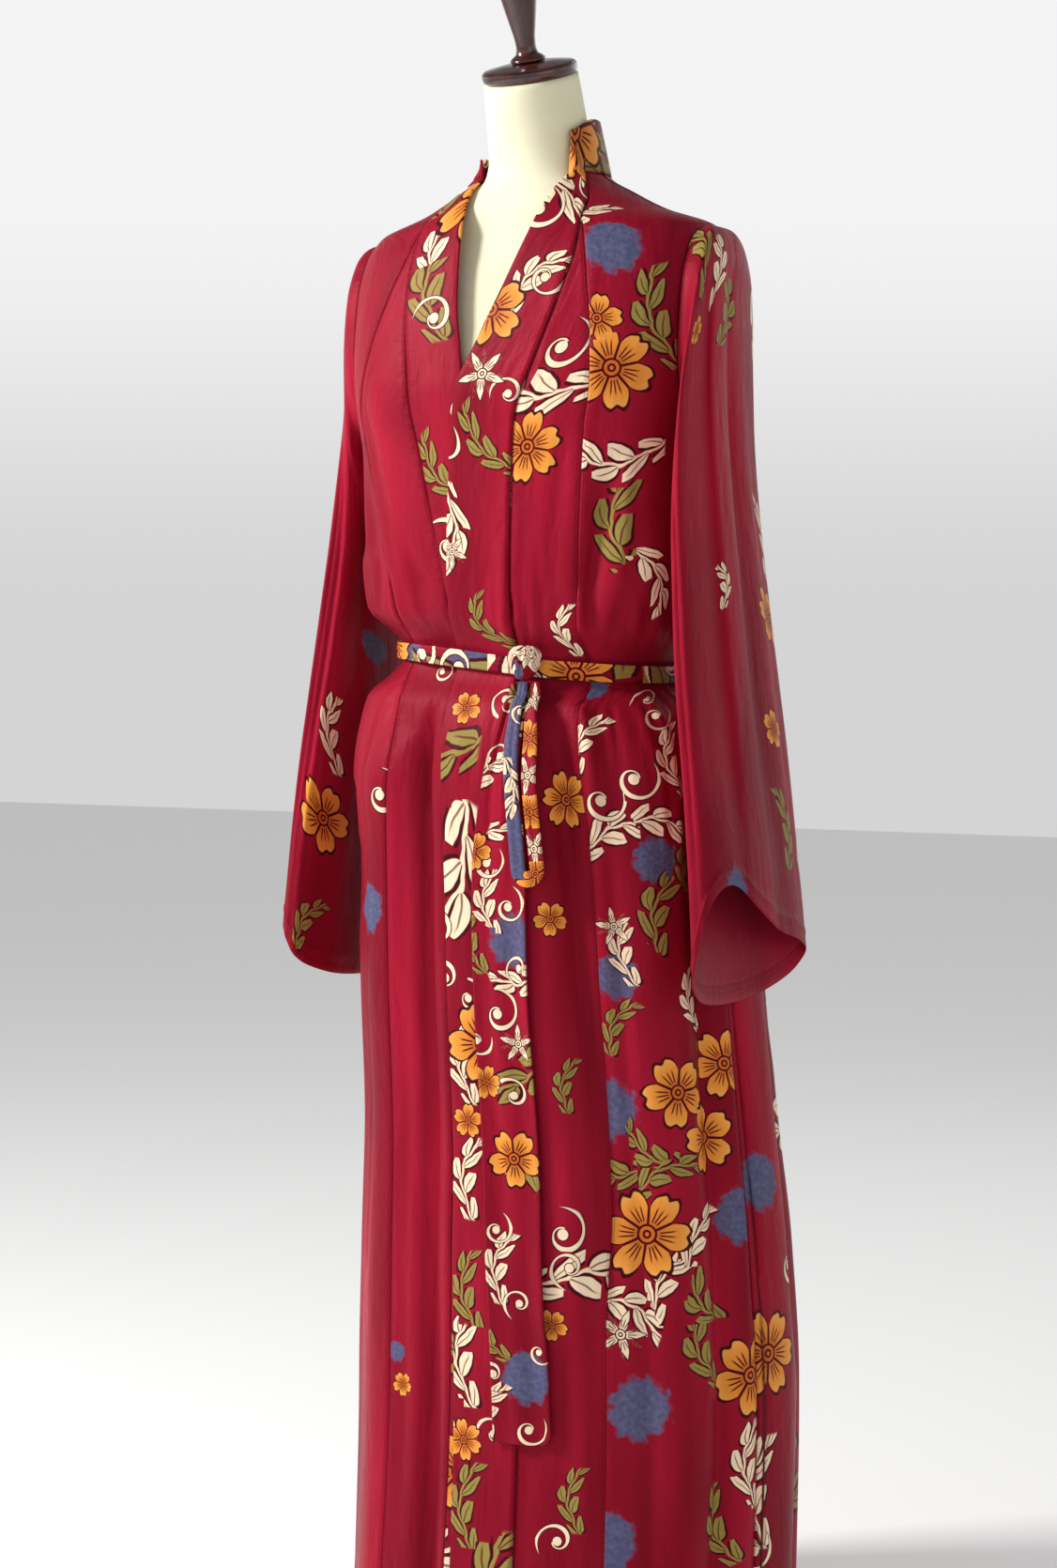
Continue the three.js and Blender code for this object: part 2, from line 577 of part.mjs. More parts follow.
function sleeve({ side, forward, swing, lift, folds }) {
  const last = SLEEVE_RINGS.length - 1;
  const grid = SLEEVE_RINGS.map((ring, r) => {
    const along = r / last;
    const outer = new THREE.Vector3(ring.outX, 0, ring.outZ);
    const inner = new THREE.Vector3(ring.inX, 0, ring.inZ);
    const middle = outer.clone().lerp(inner, 0.5);
    const arm = outer.clone().sub(middle);
    const armhole = 1 - smoothstep(along, 0, 0.3);
    const line = [];
    for (let c = 0; c < RING_STEPS; c++) {
      const degrees = (360 * c) / RING_STEPS;
      const turn = rad(degrees);
      const point = middle.clone().addScaledVector(arm, Math.cos(turn));
      // The armhole's own depth at this height, blended into the ring's even one.
      const column = Math.sin(turn) > 0 ? "front" : "back";
      const z = THREE.MathUtils.clamp(point.z, UNDERARM_Z, ARMHOLE_TOP_Z);
      const cut = armholeDepth(z, column) * Math.sign(Math.sin(turn));
      const round = Math.abs(Math.sin(turn)) < 1e-6 ? 0 : Math.sin(turn) * ring.depth;
      point.y = -(cut * armhole + round * (1 - armhole)) - forward * smoothstep(along, 0, 0.5);
      let rise = 0;
      for (const fold of folds) {
        let away = Math.abs(degrees - fold.at);
        away = Math.min(away, 360 - away);
        const ends = smoothstep(along, fold.from, fold.from + 0.2) *
          (1 - 0.6 * smoothstep(along, fold.to - 0.2, fold.to));
        rise += fold.rise * Math.exp(-((away / fold.half) ** 2)) * ends;
      }
      const away = new THREE.Vector3(point.x - middle.x, point.y + forward * along, 0);
      if (away.length() > 1e-6) point.addScaledVector(away.normalize(), rise);
      const frontLift = Math.exp(-(((degrees - 48) / 40) ** 2)) * smoothstep(along, 0.72, 1);
      point.z += lift * frontLift;
      point.x += swing * smoothstep(along, 0, 0.9);
      line.push(new THREE.Vector3(point.x * side, point.y, point.z));
    }
    return line;
  });
  const normals = gridNormals(grid, true);
  return wall(
    SLEEVE_RINGS.length,
    RING_STEPS,
    (r, c) => {
      let normal = normals[r][c].multiplyScalar(-side);
      if (r === 0) normal = flattened(normal, "x");
      return { point: grid[r][c], normal, out: CLOTH / 2, back: CLOTH / 2 };
    },
    true,
  );
}

// ---------------------------------------------------------------- sash

const beltHeight = (degrees) => BELT_Z - BELT_TILT * Math.sin(rad(degrees));
const BELT_INNER = BAND_CLOTH / 2 + 2.7; // its inner face, clear of the band and gathers under it

// The folded sash goes once round the waist, a flat band with a soft crown.
function belt() {
  const steps = 56;
  const profile = [
    { up: -0.5, out: 0 },
    { up: -0.38, out: 1 },
    { up: 0.38, out: 1 },
    { up: 0.5, out: 0 },
  ];
  const positions = [];
  const faces = [];
  for (let k = 0; k < steps; k++) {
    const degrees = (360 * k) / steps;
    for (const { up, out } of profile) {
      const z = beltHeight(degrees) + up * BELT_HEIGHT;
      const point = robePoint(degrees, beltHeight(degrees), BELT_INNER + out * BELT_THICK);
      positions.push(point.x, point.y, z);
    }
  }
  const n = profile.length;
  for (let k = 0; k < steps; k++)
    for (let c = 0; c < n; c++) {
      const a = k * n + c;
      const b = k * n + ((c + 1) % n);
      const d = ((k + 1) % steps) * n + c;
      const e = ((k + 1) % steps) * n + ((c + 1) % n);
      faces.push(a, b, e, a, e, d);
    }
  return facingOut(positions, faces);
}

// A point in front of the sash or the skirt: across and down from the knot, and out from the cloth.
function before(x, z, out) {
  const surfaceZ = z > BELT_Z - 30 ? BELT_Z - 30 + (z - BELT_Z + 30) * 0.3 : z;
  const degrees = frontAngle(x, surfaceZ);
  const onBelt = robePoint(frontAngle(x, BELT_Z), BELT_Z, BELT_INNER + BELT_THICK);
  const point = robePoint(degrees, surfaceZ, 0);
  point.y = Math.min(point.y, onBelt.y + 1.5) - out;
  point.z = z;
  return point;
}

function knot() {
  const geometry = new THREE.SphereGeometry(1, 20, 12);
  const place = geometry.attributes.position;
  const centre = new THREE.Vector3(KNOT_X, 0, beltHeight(20) + 5);
  for (let k = 0; k < place.count; k++) {
    const p = new THREE.Vector3().fromBufferAttribute(place, k);
    const bulge = 1 + 0.1 * Math.sin(3 * Math.atan2(p.z, p.x));
    const x = centre.x + p.x * 16 * bulge;
    const z = centre.z + p.z * 17 * bulge;
    const base = robePoint(frontAngle(x, BELT_Z), BELT_Z, BELT_INNER + BELT_THICK);
    place.setXYZ(k, x, base.y - KNOT_DEPTH - 0.8 + p.y * KNOT_DEPTH, z);
  }
  geometry.deleteAttribute("uv");
  return geometry;
}

// The bow's hanging loop: a folded strip that goes down, turns and comes up beside itself.
function loop() {
  const legGap = 9.5;
  const top = beltHeight(20) - 14;
  const points = [];
  const legSteps = 7;
  for (let k = 0; k <= legSteps; k++) points.push([-1, k / legSteps]);
  for (let k = 1; k < 6; k++) points.push([-Math.cos((Math.PI * k) / 6), 1, k / 6]);
  for (let k = legSteps; k >= 0; k--) points.push([1, k / legSteps]);
  const curve = points.map(([across, down, bend = null]) => {
    const sag = bend === null ? 0 : Math.sin(Math.PI * bend) * legGap;
    const z = top + (LOOP_END_Z + legGap - top) * down - sag;
    // Both legs are pinched together where they leave the knot.
    const pinch = 0.62 + 0.38 * Math.min(1, down * 3);
    const x = KNOT_X + 6 + 13 * down + across * legGap * pinch;
    return { point: before(x, z, 12.2 - 1.1 * down), half: 7.4 * pinch };
  });
  return strip(curve, 4.2);
}

// A flat strip with soft edges along a line of points, with its half width at each.
function strip(curve, thick) {
  const positions = [];
  const faces = [];
  const corners = [
    [-1, 0.35],
    [-0.7, 1],
    [0.7, 1],
    [1, 0.35],
    [1, -0.35],
    [0.7, -1],
    [-0.7, -1],
    [-1, -0.35],
  ];
  const n = corners.length;
  curve.forEach(({ point, half }, k) => {
    const along = curve[Math.min(k + 1, curve.length - 1)].point
      .clone()
      .sub(curve[Math.max(k - 1, 0)].point)
      .normalize();
    const outward = new THREE.Vector3(0, -1, 0);
    const across = new THREE.Vector3().crossVectors(outward, along).normalize();
    outward.crossVectors(along, across).normalize();
    for (const [a, o] of corners) {
      const place = point
        .clone()
        .addScaledVector(across, a * half)
        .addScaledVector(outward, (o * thick) / 2);
      positions.push(...place);
    }
  });
  for (let k = 0; k + 1 < curve.length; k++)
    for (let c = 0; c < n; c++) {
      const a = k * n + c;
      const b = k * n + ((c + 1) % n);
      faces.push(a, b, b + n, a, b + n, a + n);
    }
  const end = (curve.length - 1) * n;
  for (let c = 1; c + 1 < n; c++) {
    faces.push(0, c + 1, c);
    faces.push(end, end + c, end + c + 1);
  }
  return facingOut(positions, faces);
}

// The long tail hangs from the knot down the front edge, gathered at its top.
const TAIL_TOP_Z = 938.5;
const TAIL_LINE = [
  { z: TAIL_END_Z, x: 48 },
  { z: 450, x: 38 },
  { z: 690, x: 30 },
  { z: 850, x: 34 },
  { z: TAIL_TOP_Z, x: 42 },
];
function tail() {
  const rows = 18;
  const columns = 4;
  const lines = [];
  for (let r = 0; r <= rows; r++) {
    const z = TAIL_TOP_Z + ((TAIL_END_Z - TAIL_TOP_Z) * r) / rows;
    const width = TAIL_WIDTH * (0.42 + 0.58 * smoothstep(TAIL_TOP_Z - z, 0, 190));
    const x = between(TAIL_LINE, "z", "x", z);
    const line = [];
    for (let c = 0; c <= columns; c++) {
      const across = (c / columns - 0.5) * width;
      line.push(before(x + across, z, 6.2 + 1.1 * Math.cos((4 * Math.PI * c) / columns)));
    }
    lines.push(line);
  }
  const normals = gridNormals(lines);
  return wall(rows + 1, columns + 1, (r, c) => {
    const normal = normals[r][c];
    if (normal.y > 0) normal.negate();
    return { point: lines[r][c], normal, out: 1.1, back: 1.1 };
  });
}

// ---------------------------------------------------------------- dress form

function formTorso() {
  const positions = [];
  const faces = [];
  for (const row of FORM_SECTIONS) {
    const { z } = row;
    const chest = smoothstep(z, 1000, 1200) * (1 - smoothstep(z, 1350, 1380));
    const section = { ...row, square: 2 + 0.3 * chest };
    for (let c = 0; c < FORM_STEPS; c++) {
      const angle = (2 * Math.PI * c) / FORM_STEPS;
      const radius = sectionRadius(section, angle);
      // The neck's own rings lean with the neck, so its top is square to the cap.
      const lean = smoothstep(z, 1420, 1500) * Math.tan(rad(NECK_LEAN));
      const y = section.mid - radius * Math.cos(angle);
      positions.push(radius * Math.sin(angle), y, z + (y - section.mid) * lean);
    }
  }
  const n = FORM_STEPS;
  for (let r = 0; r + 1 < FORM_SECTIONS.length; r++)
    for (let c = 0; c < n; c++) {
      const a = r * n + c;
      const b = r * n + ((c + 1) % n);
      faces.push(a, b, b + n, a, b + n, a + n);
    }
  const bottom = positions.length / 3;
  const top = bottom + 1;
  const first = FORM_SECTIONS[0];
  const last = FORM_SECTIONS.at(-1);
  positions.push(0, first.mid, first.z, 0, last.mid, last.z);
  const end = (FORM_SECTIONS.length - 1) * n;
  for (let c = 0; c < n; c++) {
    faces.push(bottom, (c + 1) % n, c);
    faces.push(top, end + c, end + ((c + 1) % n));
  }
  return facingOut(positions, faces);
}

// A turned piece from its profile of radius and height.
function turned(profile, steps = 20) {
  const points = profile.map(([radius, height]) => new THREE.Vector2(radius, height));
  const geometry = new THREE.LatheGeometry(points, steps);
  geometry.rotateX(Math.PI / 2);
  geometry.deleteAttribute("uv");
  return geometry;
}

const neckCap = () =>
  turned([
    [0, 0.4],
    [CAP_RADIUS - 2, 0.4],
    [CAP_RADIUS + 1, 3],
    [CAP_RADIUS + 2, 7],
    [CAP_RADIUS, 11],
    [CAP_RADIUS - 4, 13.5],
    [CAP_RADIUS - 20, 15.5],
    [12, 16],
    [0, 16],
  ]);

const finial = () =>
  turned([
    [0, 16.4],
    [16, 16.4],
    [17, 18.5],
    [15, 21],
    [11, 24],
    [9.5, 30],
    [10, 38],
    [12.5, 52],
    [16, 70],
    [18.5, 86],
    [19, 98],
    [17, 109],
    [12, 117],
    [6, 121],
    [0, 122],
  ]);

const pole = () =>
  turned([
    [0, 22.5],
    [POLE_RADIUS, 22.5],
    [POLE_RADIUS, 715.6],
    [0, 715.6],
  ]);

const standBase = () =>
  turned(
    [
      [0, 0],
      [BASE_RADIUS - 2, 0],
      [BASE_RADIUS, 2],
      [BASE_RADIUS, 8],
      [BASE_RADIUS - 4, 12],
      [BASE_RADIUS - 60, 15],
      [40, 18],
      [30, 22],
      [0, 22],
    ],
    36,
  );

// ---------------------------------------------------------------- the object

const finish = (color, roughness, metalness = 0) =>
  new THREE.MeshStandardMaterial({ color, roughness, metalness });
const satin = finish(0x9b1c33, 0.42);
const bandSatin = finish(0x8c1830, 0.45);
const sashSatin = finish(0xb4552f, 0.45);
const linen = finish(0xf1e9cf, 0.9);
const mahogany = finish(0x3a1410, 0.25);
const iron = finish(0x2b2b2d, 0.45, 0.8);

const robe = new THREE.Group();
function add(name, geometry, material, parent = robe) {
  const mesh = new THREE.Mesh(geometry, material);
  mesh.name = name;
  parent.add(mesh);
  return mesh;
}

add("back", backPanel(), satin);
for (const [name, side] of [["left", 1], ["right", -1]]) {
  const half = fronts(side);
  add(`front_${name}`, half.front, satin);
  add(`overlap_${name}`, half.overlap, satin);
  add(`collar_band_${name}`, band(half, side), bandSatin);
}
for (const one of SLEEVES) add(one.name, sleeve(one), satin);
add("sash_belt", belt(), sashSatin);
add("sash_knot", knot(), sashSatin);
add("sash_loop", loop(), sashSatin);
add("sash_tail", tail(), sashSatin);

const stand = new THREE.Group();
add("form_torso", formTorso(), linen, stand);
const neck = new THREE.Group();
neck.position.copy(NECK_TOP);
neck.rotation.x = rad(NECK_LEAN);
add("neck_cap", neckCap(), mahogany, neck);
add("neck_finial", finial(), mahogany, neck);
stand.add(neck);
add("stand_pole", pole(), iron, stand);
add("stand_base", standBase(), iron, stand);

const object = new THREE.Group();
object.add(robe, stand);
export default object;
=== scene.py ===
"""A floor-length kimono robe of printed crimson satin, tied with its own narrow sash, on the limbless
dress form that wears it. Metres, +Z up; the robe's front faces -Y and the wearer's left is +X."""
import math
import random

import bmesh
import bpy
import numpy as np
from mathutils import Matrix, Vector

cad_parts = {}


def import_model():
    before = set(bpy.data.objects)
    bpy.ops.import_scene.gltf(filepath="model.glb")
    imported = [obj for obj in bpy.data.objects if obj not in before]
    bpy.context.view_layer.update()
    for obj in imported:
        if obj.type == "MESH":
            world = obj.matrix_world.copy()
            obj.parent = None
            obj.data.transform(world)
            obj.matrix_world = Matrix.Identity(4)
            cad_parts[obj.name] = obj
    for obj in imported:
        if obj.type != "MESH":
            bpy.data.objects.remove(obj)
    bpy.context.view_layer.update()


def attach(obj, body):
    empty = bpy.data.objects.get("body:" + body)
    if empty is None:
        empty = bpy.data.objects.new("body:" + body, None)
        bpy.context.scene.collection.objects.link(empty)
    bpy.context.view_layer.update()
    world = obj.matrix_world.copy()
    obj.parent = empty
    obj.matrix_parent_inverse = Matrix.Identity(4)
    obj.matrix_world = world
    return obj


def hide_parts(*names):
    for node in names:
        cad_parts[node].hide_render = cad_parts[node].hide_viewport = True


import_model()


# ------------------------------------------------------------------------------------------ view
# The camera stands to the wearer's left of the front, a little above the waist, and takes in the
# robe from its collar to just above the hem.

EYE_TURN = math.radians(30)
EYE_DISTANCE = 3.4
EYE_HEIGHT = 1.0
AIM_HEIGHT = 0.838
AIM_ASIDE = -0.017
SENSOR_HEIGHT = 24
FRAME_HEIGHT = 1.518  # how much of the height the picture takes in at the form's axis

sideways = Vector((math.cos(EYE_TURN), math.sin(EYE_TURN), 0))
towards_eye = Vector((math.sin(EYE_TURN), -math.cos(EYE_TURN), 0))
eye_place = towards_eye * EYE_DISTANCE + Vector((0, 0, EYE_HEIGHT))
aim_place = sideways * AIM_ASIDE + Vector((0, 0, AIM_HEIGHT))

eye = bpy.data.objects.new("camera", bpy.data.cameras.new("camera"))
bpy.context.collection.objects.link(eye)
eye.data.sensor_fit = "VERTICAL"
eye.data.sensor_height = SENSOR_HEIGHT
eye.data.lens = SENSOR_HEIGHT * (eye_place - aim_place).length / FRAME_HEIGHT
eye.location = eye_place
eye.rotation_euler = (aim_place - eye_place).to_track_quat("-Z", "Y").to_euler()
bpy.context.scene.camera = eye


# ------------------------------------------------------------------------------------ back panel
# One piece of satin from the back neckline and shoulder seams to the hem, with no centre seam. It is
# cut first, so the robe's surface, the printed satin and the way to cut a piece come with it.

# The robe's surface. The whole body of the robe hangs as one hollow surface round the form, named by
# its horizontal sections, and every cut piece is a stretch of it.

HEM_Z = 0.045
NECK_Z = 1.420
BELT_Z = 0.957
BELT_TILT = 0.012  # how far the waist dips on the wearer's left and rises on the right
BELT_TILT_REACH = 0.09
SASH_REACH = 0.012  # how far above and below the belt's line the gathers start
ARMHOLE_X = 0.1775
ARMHOLE_TOP_Z = 1.366
UNDERARM_Z = 1.150


def smoothstep(x, low, high):
    t = np.clip((np.asarray(x, float) - low) / (high - low), 0, 1)
    return t * t * (3 - 2 * t)


class Profile:
    """Rows of named columns, read between the rows along smooth curves that don't overshoot."""

    def __init__(self, columns, *rows):
        self.rows = np.array(rows, float)
        self.columns = columns

    def at(self, name, where):
        x, y = self.rows[:, 0], self.rows[:, self.columns.index(name)]
        slope = np.diff(y) / np.diff(x)
        before, after = slope[:-1], slope[1:]
        alike = before * after > 0
        inner = np.where(alike, 2 * before * after / np.where(alike, before + after, 1), 0)
        tangent = np.concatenate([slope[:1], inner, slope[-1:]])
        where = np.clip(where, x[0], x[-1])
        i = np.clip(np.searchsorted(x, where) - 1, 0, len(x) - 2)
        step = x[i + 1] - x[i]
        t = (where - x[i]) / step
        rise = t * t * (3 - 2 * t)
        bend = step * t * (1 - t) * ((1 - t) * tangent[i] - t * tangent[i + 1])
        return y[i] * (1 - rise) + y[i + 1] * rise + bend


SECTIONS = Profile(
    ("z", "half", "front", "back", "mid", "square"),
    (0.045, 0.226, 0.188, 0.190, 0.048, 2),
    (0.250, 0.226, 0.184, 0.188, 0.058, 2),
    (0.388, 0.219, 0.180, 0.184, 0.054, 2),
    (0.506, 0.212, 0.168, 0.172, 0.044, 2),
    (0.650, 0.204, 0.160, 0.166, 0.028, 2.1),
    (0.780, 0.197, 0.151, 0.154, 0.016, 2.2),
    (0.850, 0.192, 0.146, 0.142, 0.010, 2.4),
    (0.915, 0.176, 0.128, 0.120, 0.004, 2.4),
    (0.934, 0.154, 0.111, 0.105, 0.001, 2.4),
    (0.948, 0.141, 0.103, 0.098, 0, 2.4),
    (0.966, 0.141, 0.103, 0.098, 0, 2.4),
    (0.980, 0.153, 0.110, 0.105, 0, 2.5),
    (1.000, 0.172, 0.121, 0.116, 0, 2.6),
    (1.050, 0.176, 0.124, 0.120, 0, 2.7),
    (1.150, 0.1765, 0.126, 0.121, 0, 2.8),
    (1.211, 0.187, 0.128, 0.122, 0, 2.7),
    (1.262, 0.193, 0.121, 0.121, 0, 2.6),
    (1.310, 0.194, 0.110, 0.118, 0, 2.5),
    (1.342, 0.190, 0.101, 0.113, 0, 2.3),
    (1.366, 0.1765, 0.092, 0.104, 0, 2.1),
    (1.385, 0.125, 0.084, 0.092, 0, 2),
    (1.402, 0.091, 0.074, 0.078, 0, 2),
    (1.420, 0.062, 0.060, 0.062, 0, 2),
    (1.436, 0.058, 0.056, 0.058, 0, 2),
)

# The deep folds, then the finer creases: degrees from the front towards the wearer's left at the
# upper and the lower end, half width in degrees, rise out of the surface, lower end, upper end.
FOLDS = [
    (-26, -20, 4.0, -0.013, 0.045, 0.925),
    (-44, -42, 9.0, 0.009, 0.045, 0.900),
    (-70, -64, 5.0, -0.009, 0.045, 0.880),
    (33, 42, 4.5, -0.010, 0.380, 0.925),
    (24, 26, 7.0, 0.005, 0.300, 0.900),
    (58, 58, 7.0, 0.008, 0.045, 0.905),
    (74, 69, 4.5, -0.009, 0.045, 0.905),
    (96, 94, 7.0, 0.004, 0.045, 0.880),
    (112, 108, 4.5, -0.012, 0.045, 0.915),
    (128, 124, 7.5, 0.008, 0.045, 0.900),
    (147, 143, 5.0, -0.011, 0.045, 0.925),
    (163, 160, 7.0, 0.007, 0.045, 0.890),
    (181, 178, 4.5, -0.012, 0.045, 0.925),
    (198, 197, 8.0, 0.008, 0.045, 0.900),
    (215, 217, 5.0, -0.011, 0.045, 0.915),
    (232, 236, 7.5, 0.009, 0.045, 0.885),
    (250, 255, 4.5, -0.010, 0.045, 0.920),
    (-95, -90, 7.0, 0.003, 0.045, 0.890),
    (-40, -27, 5.0, -0.007, 0.985, 1.080),
    (-62, -52, 6.0, -0.008, 0.985, 1.170),
    (52, 44, 5.0, -0.007, 0.985, 1.150),
    (70, 60, 5.0, 0.006, 0.985, 1.120),
    (152, 160, 6.0, -0.008, 0.985, 1.210),
    (124, 132, 6.0, -0.006, 0.985, 1.130),
    (204, 198, 6.0, -0.008, 0.985, 1.230),
    (232, 226, 6.0, -0.006, 0.985, 1.120),
]
CREASES = [
    (-27, -21, 1.7, -0.0060, 0.045, 0.930),
    (-70, -64, 2.0, -0.0045, 0.045, 0.880),
    (33, 41, 1.8, -0.0055, 0.300, 0.925),
    (74, 69, 1.9, -0.0048, 0.045, 0.905),
    (112, 108, 1.9, -0.0055, 0.045, 0.915),
    (147, 143, 2.0, -0.0050, 0.045, 0.925),
    (181, 178, 1.9, -0.0055, 0.045, 0.925),
    (215, 217, 2.0, -0.0050, 0.045, 0.915),
    (250, 255, 1.9, -0.0048, 0.045, 0.920),
    (-42, -30, 2.0, -0.0040, 0.985, 1.100),
    (52, 44, 2.2, -0.0040, 0.985, 1.160),
    (-33, -31, 1.6, -0.0032, 0.120, 0.880),
    (-14, -12, 2.2, 0.0026, 0.045, 0.700),
    (-52, -50, 2.0, -0.0030, 0.330, 0.910),
    (-58, -60, 2.4, 0.0028, 0.045, 0.760),
    (-79, -74, 2.2, -0.0034, 0.045, 0.800),
    (4, 7, 1.8, -0.0022, 0.300, 0.760),
    (16, 15, 2.0, -0.0030, 0.045, 0.640),
    (29, 33, 2.6, 0.0030, 0.045, 0.560),
    (47, 50, 2.2, -0.0036, 0.045, 0.830),
    (66, 64, 1.8, 0.0024, 0.200, 0.860),
    (83, 80, 2.2, -0.0036, 0.045, 0.700),
    (102, 101, 2.4, -0.0030, 0.260, 0.900),
    (119, 117, 1.8, 0.0026, 0.045, 0.620),
    (136, 134, 2.2, -0.0034, 0.180, 0.900),
    (154, 151, 2.6, 0.0028, 0.045, 0.700),
    (171, 169, 2.0, -0.0032, 0.045, 0.840),
    (190, 188, 2.2, 0.0026, 0.250, 0.900),
    (206, 207, 2.2, -0.0034, 0.045, 0.760),
    (224, 227, 2.0, 0.0026, 0.045, 0.640),
    (241, 245, 2.2, -0.0034, 0.200, 0.890),
    (262, 266, 2.4, -0.0030, 0.045, 0.700),
    (-60, -40, 2.6, -0.0034, 1.020, 1.250),
    (-68, -57, 2.4, 0.0030, 1.000, 1.170),
    (-31, -20, 2.2, -0.0026, 0.985, 1.130),
    (-47, -33, 2.0, 0.0026, 0.985, 1.110),
    (38, 30, 2.4, -0.0032, 0.985, 1.210),
    (60, 52, 2.6, 0.0028, 1.000, 1.190),
    (66, 56, 2.0, -0.0028, 1.060, 1.260),
    (22, 19, 1.8, -0.0024, 0.985, 1.100),
    (130, 145, 2.8, -0.0034, 1.000, 1.290),
    (166, 168, 2.4, 0.0030, 0.985, 1.200),
    (181, 176, 2.2, -0.0030, 0.985, 1.160),
    (214, 208, 2.6, -0.0032, 1.010, 1.300),
    (238, 226, 2.4, 0.0028, 0.985, 1.180),
]


def gathers():
    """The small uneven pleats that the sash draws up, above it and below it, all round the waist."""
    draws = random.Random(41)
    rows = []
    at = -178.0
    while at < 178:
        low = draws.uniform(0.05, 0.19)
        high = draws.uniform(0.04, 0.12)
        rise = draws.uniform(0.0022, 0.0052) * draws.choice((-1, -1, 1))
        half = draws.uniform(1.1, 2.1)
        lean = draws.uniform(-3, 3)
        rows.append((at, at + lean, half, rise, BELT_Z - low, BELT_Z - SASH_REACH))
        rows.append((at - lean, at, half, rise * 0.9, BELT_Z + SASH_REACH, BELT_Z + high))
        at += draws.uniform(4.2, 8.6)
    return rows


# Each table with the height over which its rows fade out at their ends.
DRAPE = ((FOLDS, 0.060), (CREASES, 0.075), (gathers(), 0.022))
DEEP_FOLDS = DRAPE[:1]


def fold_rise(degrees, z, tables):
    """How far the drape stands out of the smooth surface. It dies away beside the armholes."""
    rise = np.zeros(np.broadcast(degrees, z).shape)
    for rows, fade_length in tables:
        for top, bottom, half, height, low, high in rows:
            t = (z - low) / (high - low)
            away = (degrees - (bottom + (top - bottom) * t) + 180) % 360 - 180
            fade = np.minimum(1, (high - z) / fade_length)
            if low > HEM_Z:
                fade = np.minimum(fade, (z - low) / fade_length)
            rise += height * np.exp(-((away / half) ** 2)) * smoothstep(fade, 0, 1) * (t > -0.2)
    beside_arm = smoothstep(np.abs(np.sin(np.radians(degrees))), 0.75, 0.95)
    return rise * (1 - beside_arm * smoothstep(z, 1.080, 1.150))


def robe_section(z):
    return {name: SECTIONS.at(name, z) for name in ("half", "front", "back", "mid", "square")}


def section_radius(section, angle):
    depth = np.where(np.cos(angle) > 0, section["front"], section["back"])
    across = np.abs(np.sin(angle) / section["half"]) ** section["square"]
    along = np.abs(np.cos(angle) / depth) ** section["square"]
    return (across + along) ** (-1 / section["square"])


def robe_points(degrees, z, out=0.0, tables=DRAPE):
    """Points of the robe's surface. Degrees run from the front towards the wearer's left."""
    degrees, z = np.broadcast_arrays(np.asarray(degrees, float), np.asarray(z, float))
    angle = np.radians(degrees)
    near_belt = np.exp(-(((z - BELT_Z) / BELT_TILT_REACH) ** 2))
    section = robe_section(z + BELT_TILT * np.sin(angle) * near_belt)
    radius = section_radius(section, angle) + fold_rise(degrees, z, tables) + out
    return np.stack([radius * np.sin(angle), section["mid"] - radius * np.cos(angle), z], -1)


def robe_normals(degrees, z):
    along = robe_points(degrees + 0.4, z) - robe_points(degrees - 0.4, z)
    up = robe_points(degrees, z + 0.002) - robe_points(degrees, z - 0.002)
    normal = np.cross(along, up)
    return normal / np.linalg.norm(normal, axis=-1, keepdims=True)


def side_angle(z):
    """The side seam swings forward down the skirt."""
    return 90 - 9 * smoothstep(1.120 - z, 0, 0.420)


def armhole_depth(z, column):
    section = robe_section(z)
    share = 1 - np.minimum(1, (ARMHOLE_X / section["half"]) ** section["square"])
    return section[column] * share ** (1 / section["square"])


def panel_end(z, column):
    """Where a front or back panel ends at its side: side seam, armhole or shoulder seam."""
    angle = np.degrees(np.arctan2(ARMHOLE_X, armhole_depth(z, column)))
    at_arm = angle if column == "front" else 180 - angle
    return np.where(z <= UNDERARM_Z, side_angle(z), np.where(z >= ARMHOLE_TOP_Z, 90, at_arm))


# The printed satin. It has a crimson ground with ochre flowers, cream and olive leaf sprays, curling
# tendrils and soft slate-blue patches. Each motif is drawn by formula in its own coordinates, which
# a piece carries on the corners of its faces.

MOTIFS = ("flower", "spray", "curl", "patch")


class Field:
    """A value that varies over the cloth, which ordinary arithmetic can be written with."""

    def __init__(self, tree, socket):
        self.tree = tree
        self.socket = socket

    def op(self, operation, *others):
        node = self.tree.nodes.new("ShaderNodeMath")
        node.operation = operation
        for slot, value in zip(node.inputs, (self, *others)):
            if isinstance(value, Field):
                self.tree.links.new(value.socket, slot)
            else:
                slot.default_value = value
        return Field(self.tree, node.outputs[0])

    def __add__(self, other):
        return self.op("ADD", other)

    def __sub__(self, other):
        return self.op("SUBTRACT", other)

    def __mul__(self, other):
        return self.op("MULTIPLY", other)

    def __truediv__(self, other):
        return self.op("DIVIDE", other)

    def size(self):
        return self.op("ABSOLUTE")

    def over(self, low, high):
        """0 up to low, 1 from high, with a soft step between; high may be the lesser."""
        node = self.tree.nodes.new("ShaderNodeMapRange")
        node.interpolation_type = "SMOOTHSTEP"
        self.tree.links.new(self.socket, node.inputs["Value"])
        for name, value in (("From Min", low), ("From Max", high)):
            if isinstance(value, Field):
                self.tree.links.new(value.socket, node.inputs[name])
            else:
                node.inputs[name].default_value = value
        return Field(self.tree, node.outputs["Result"])


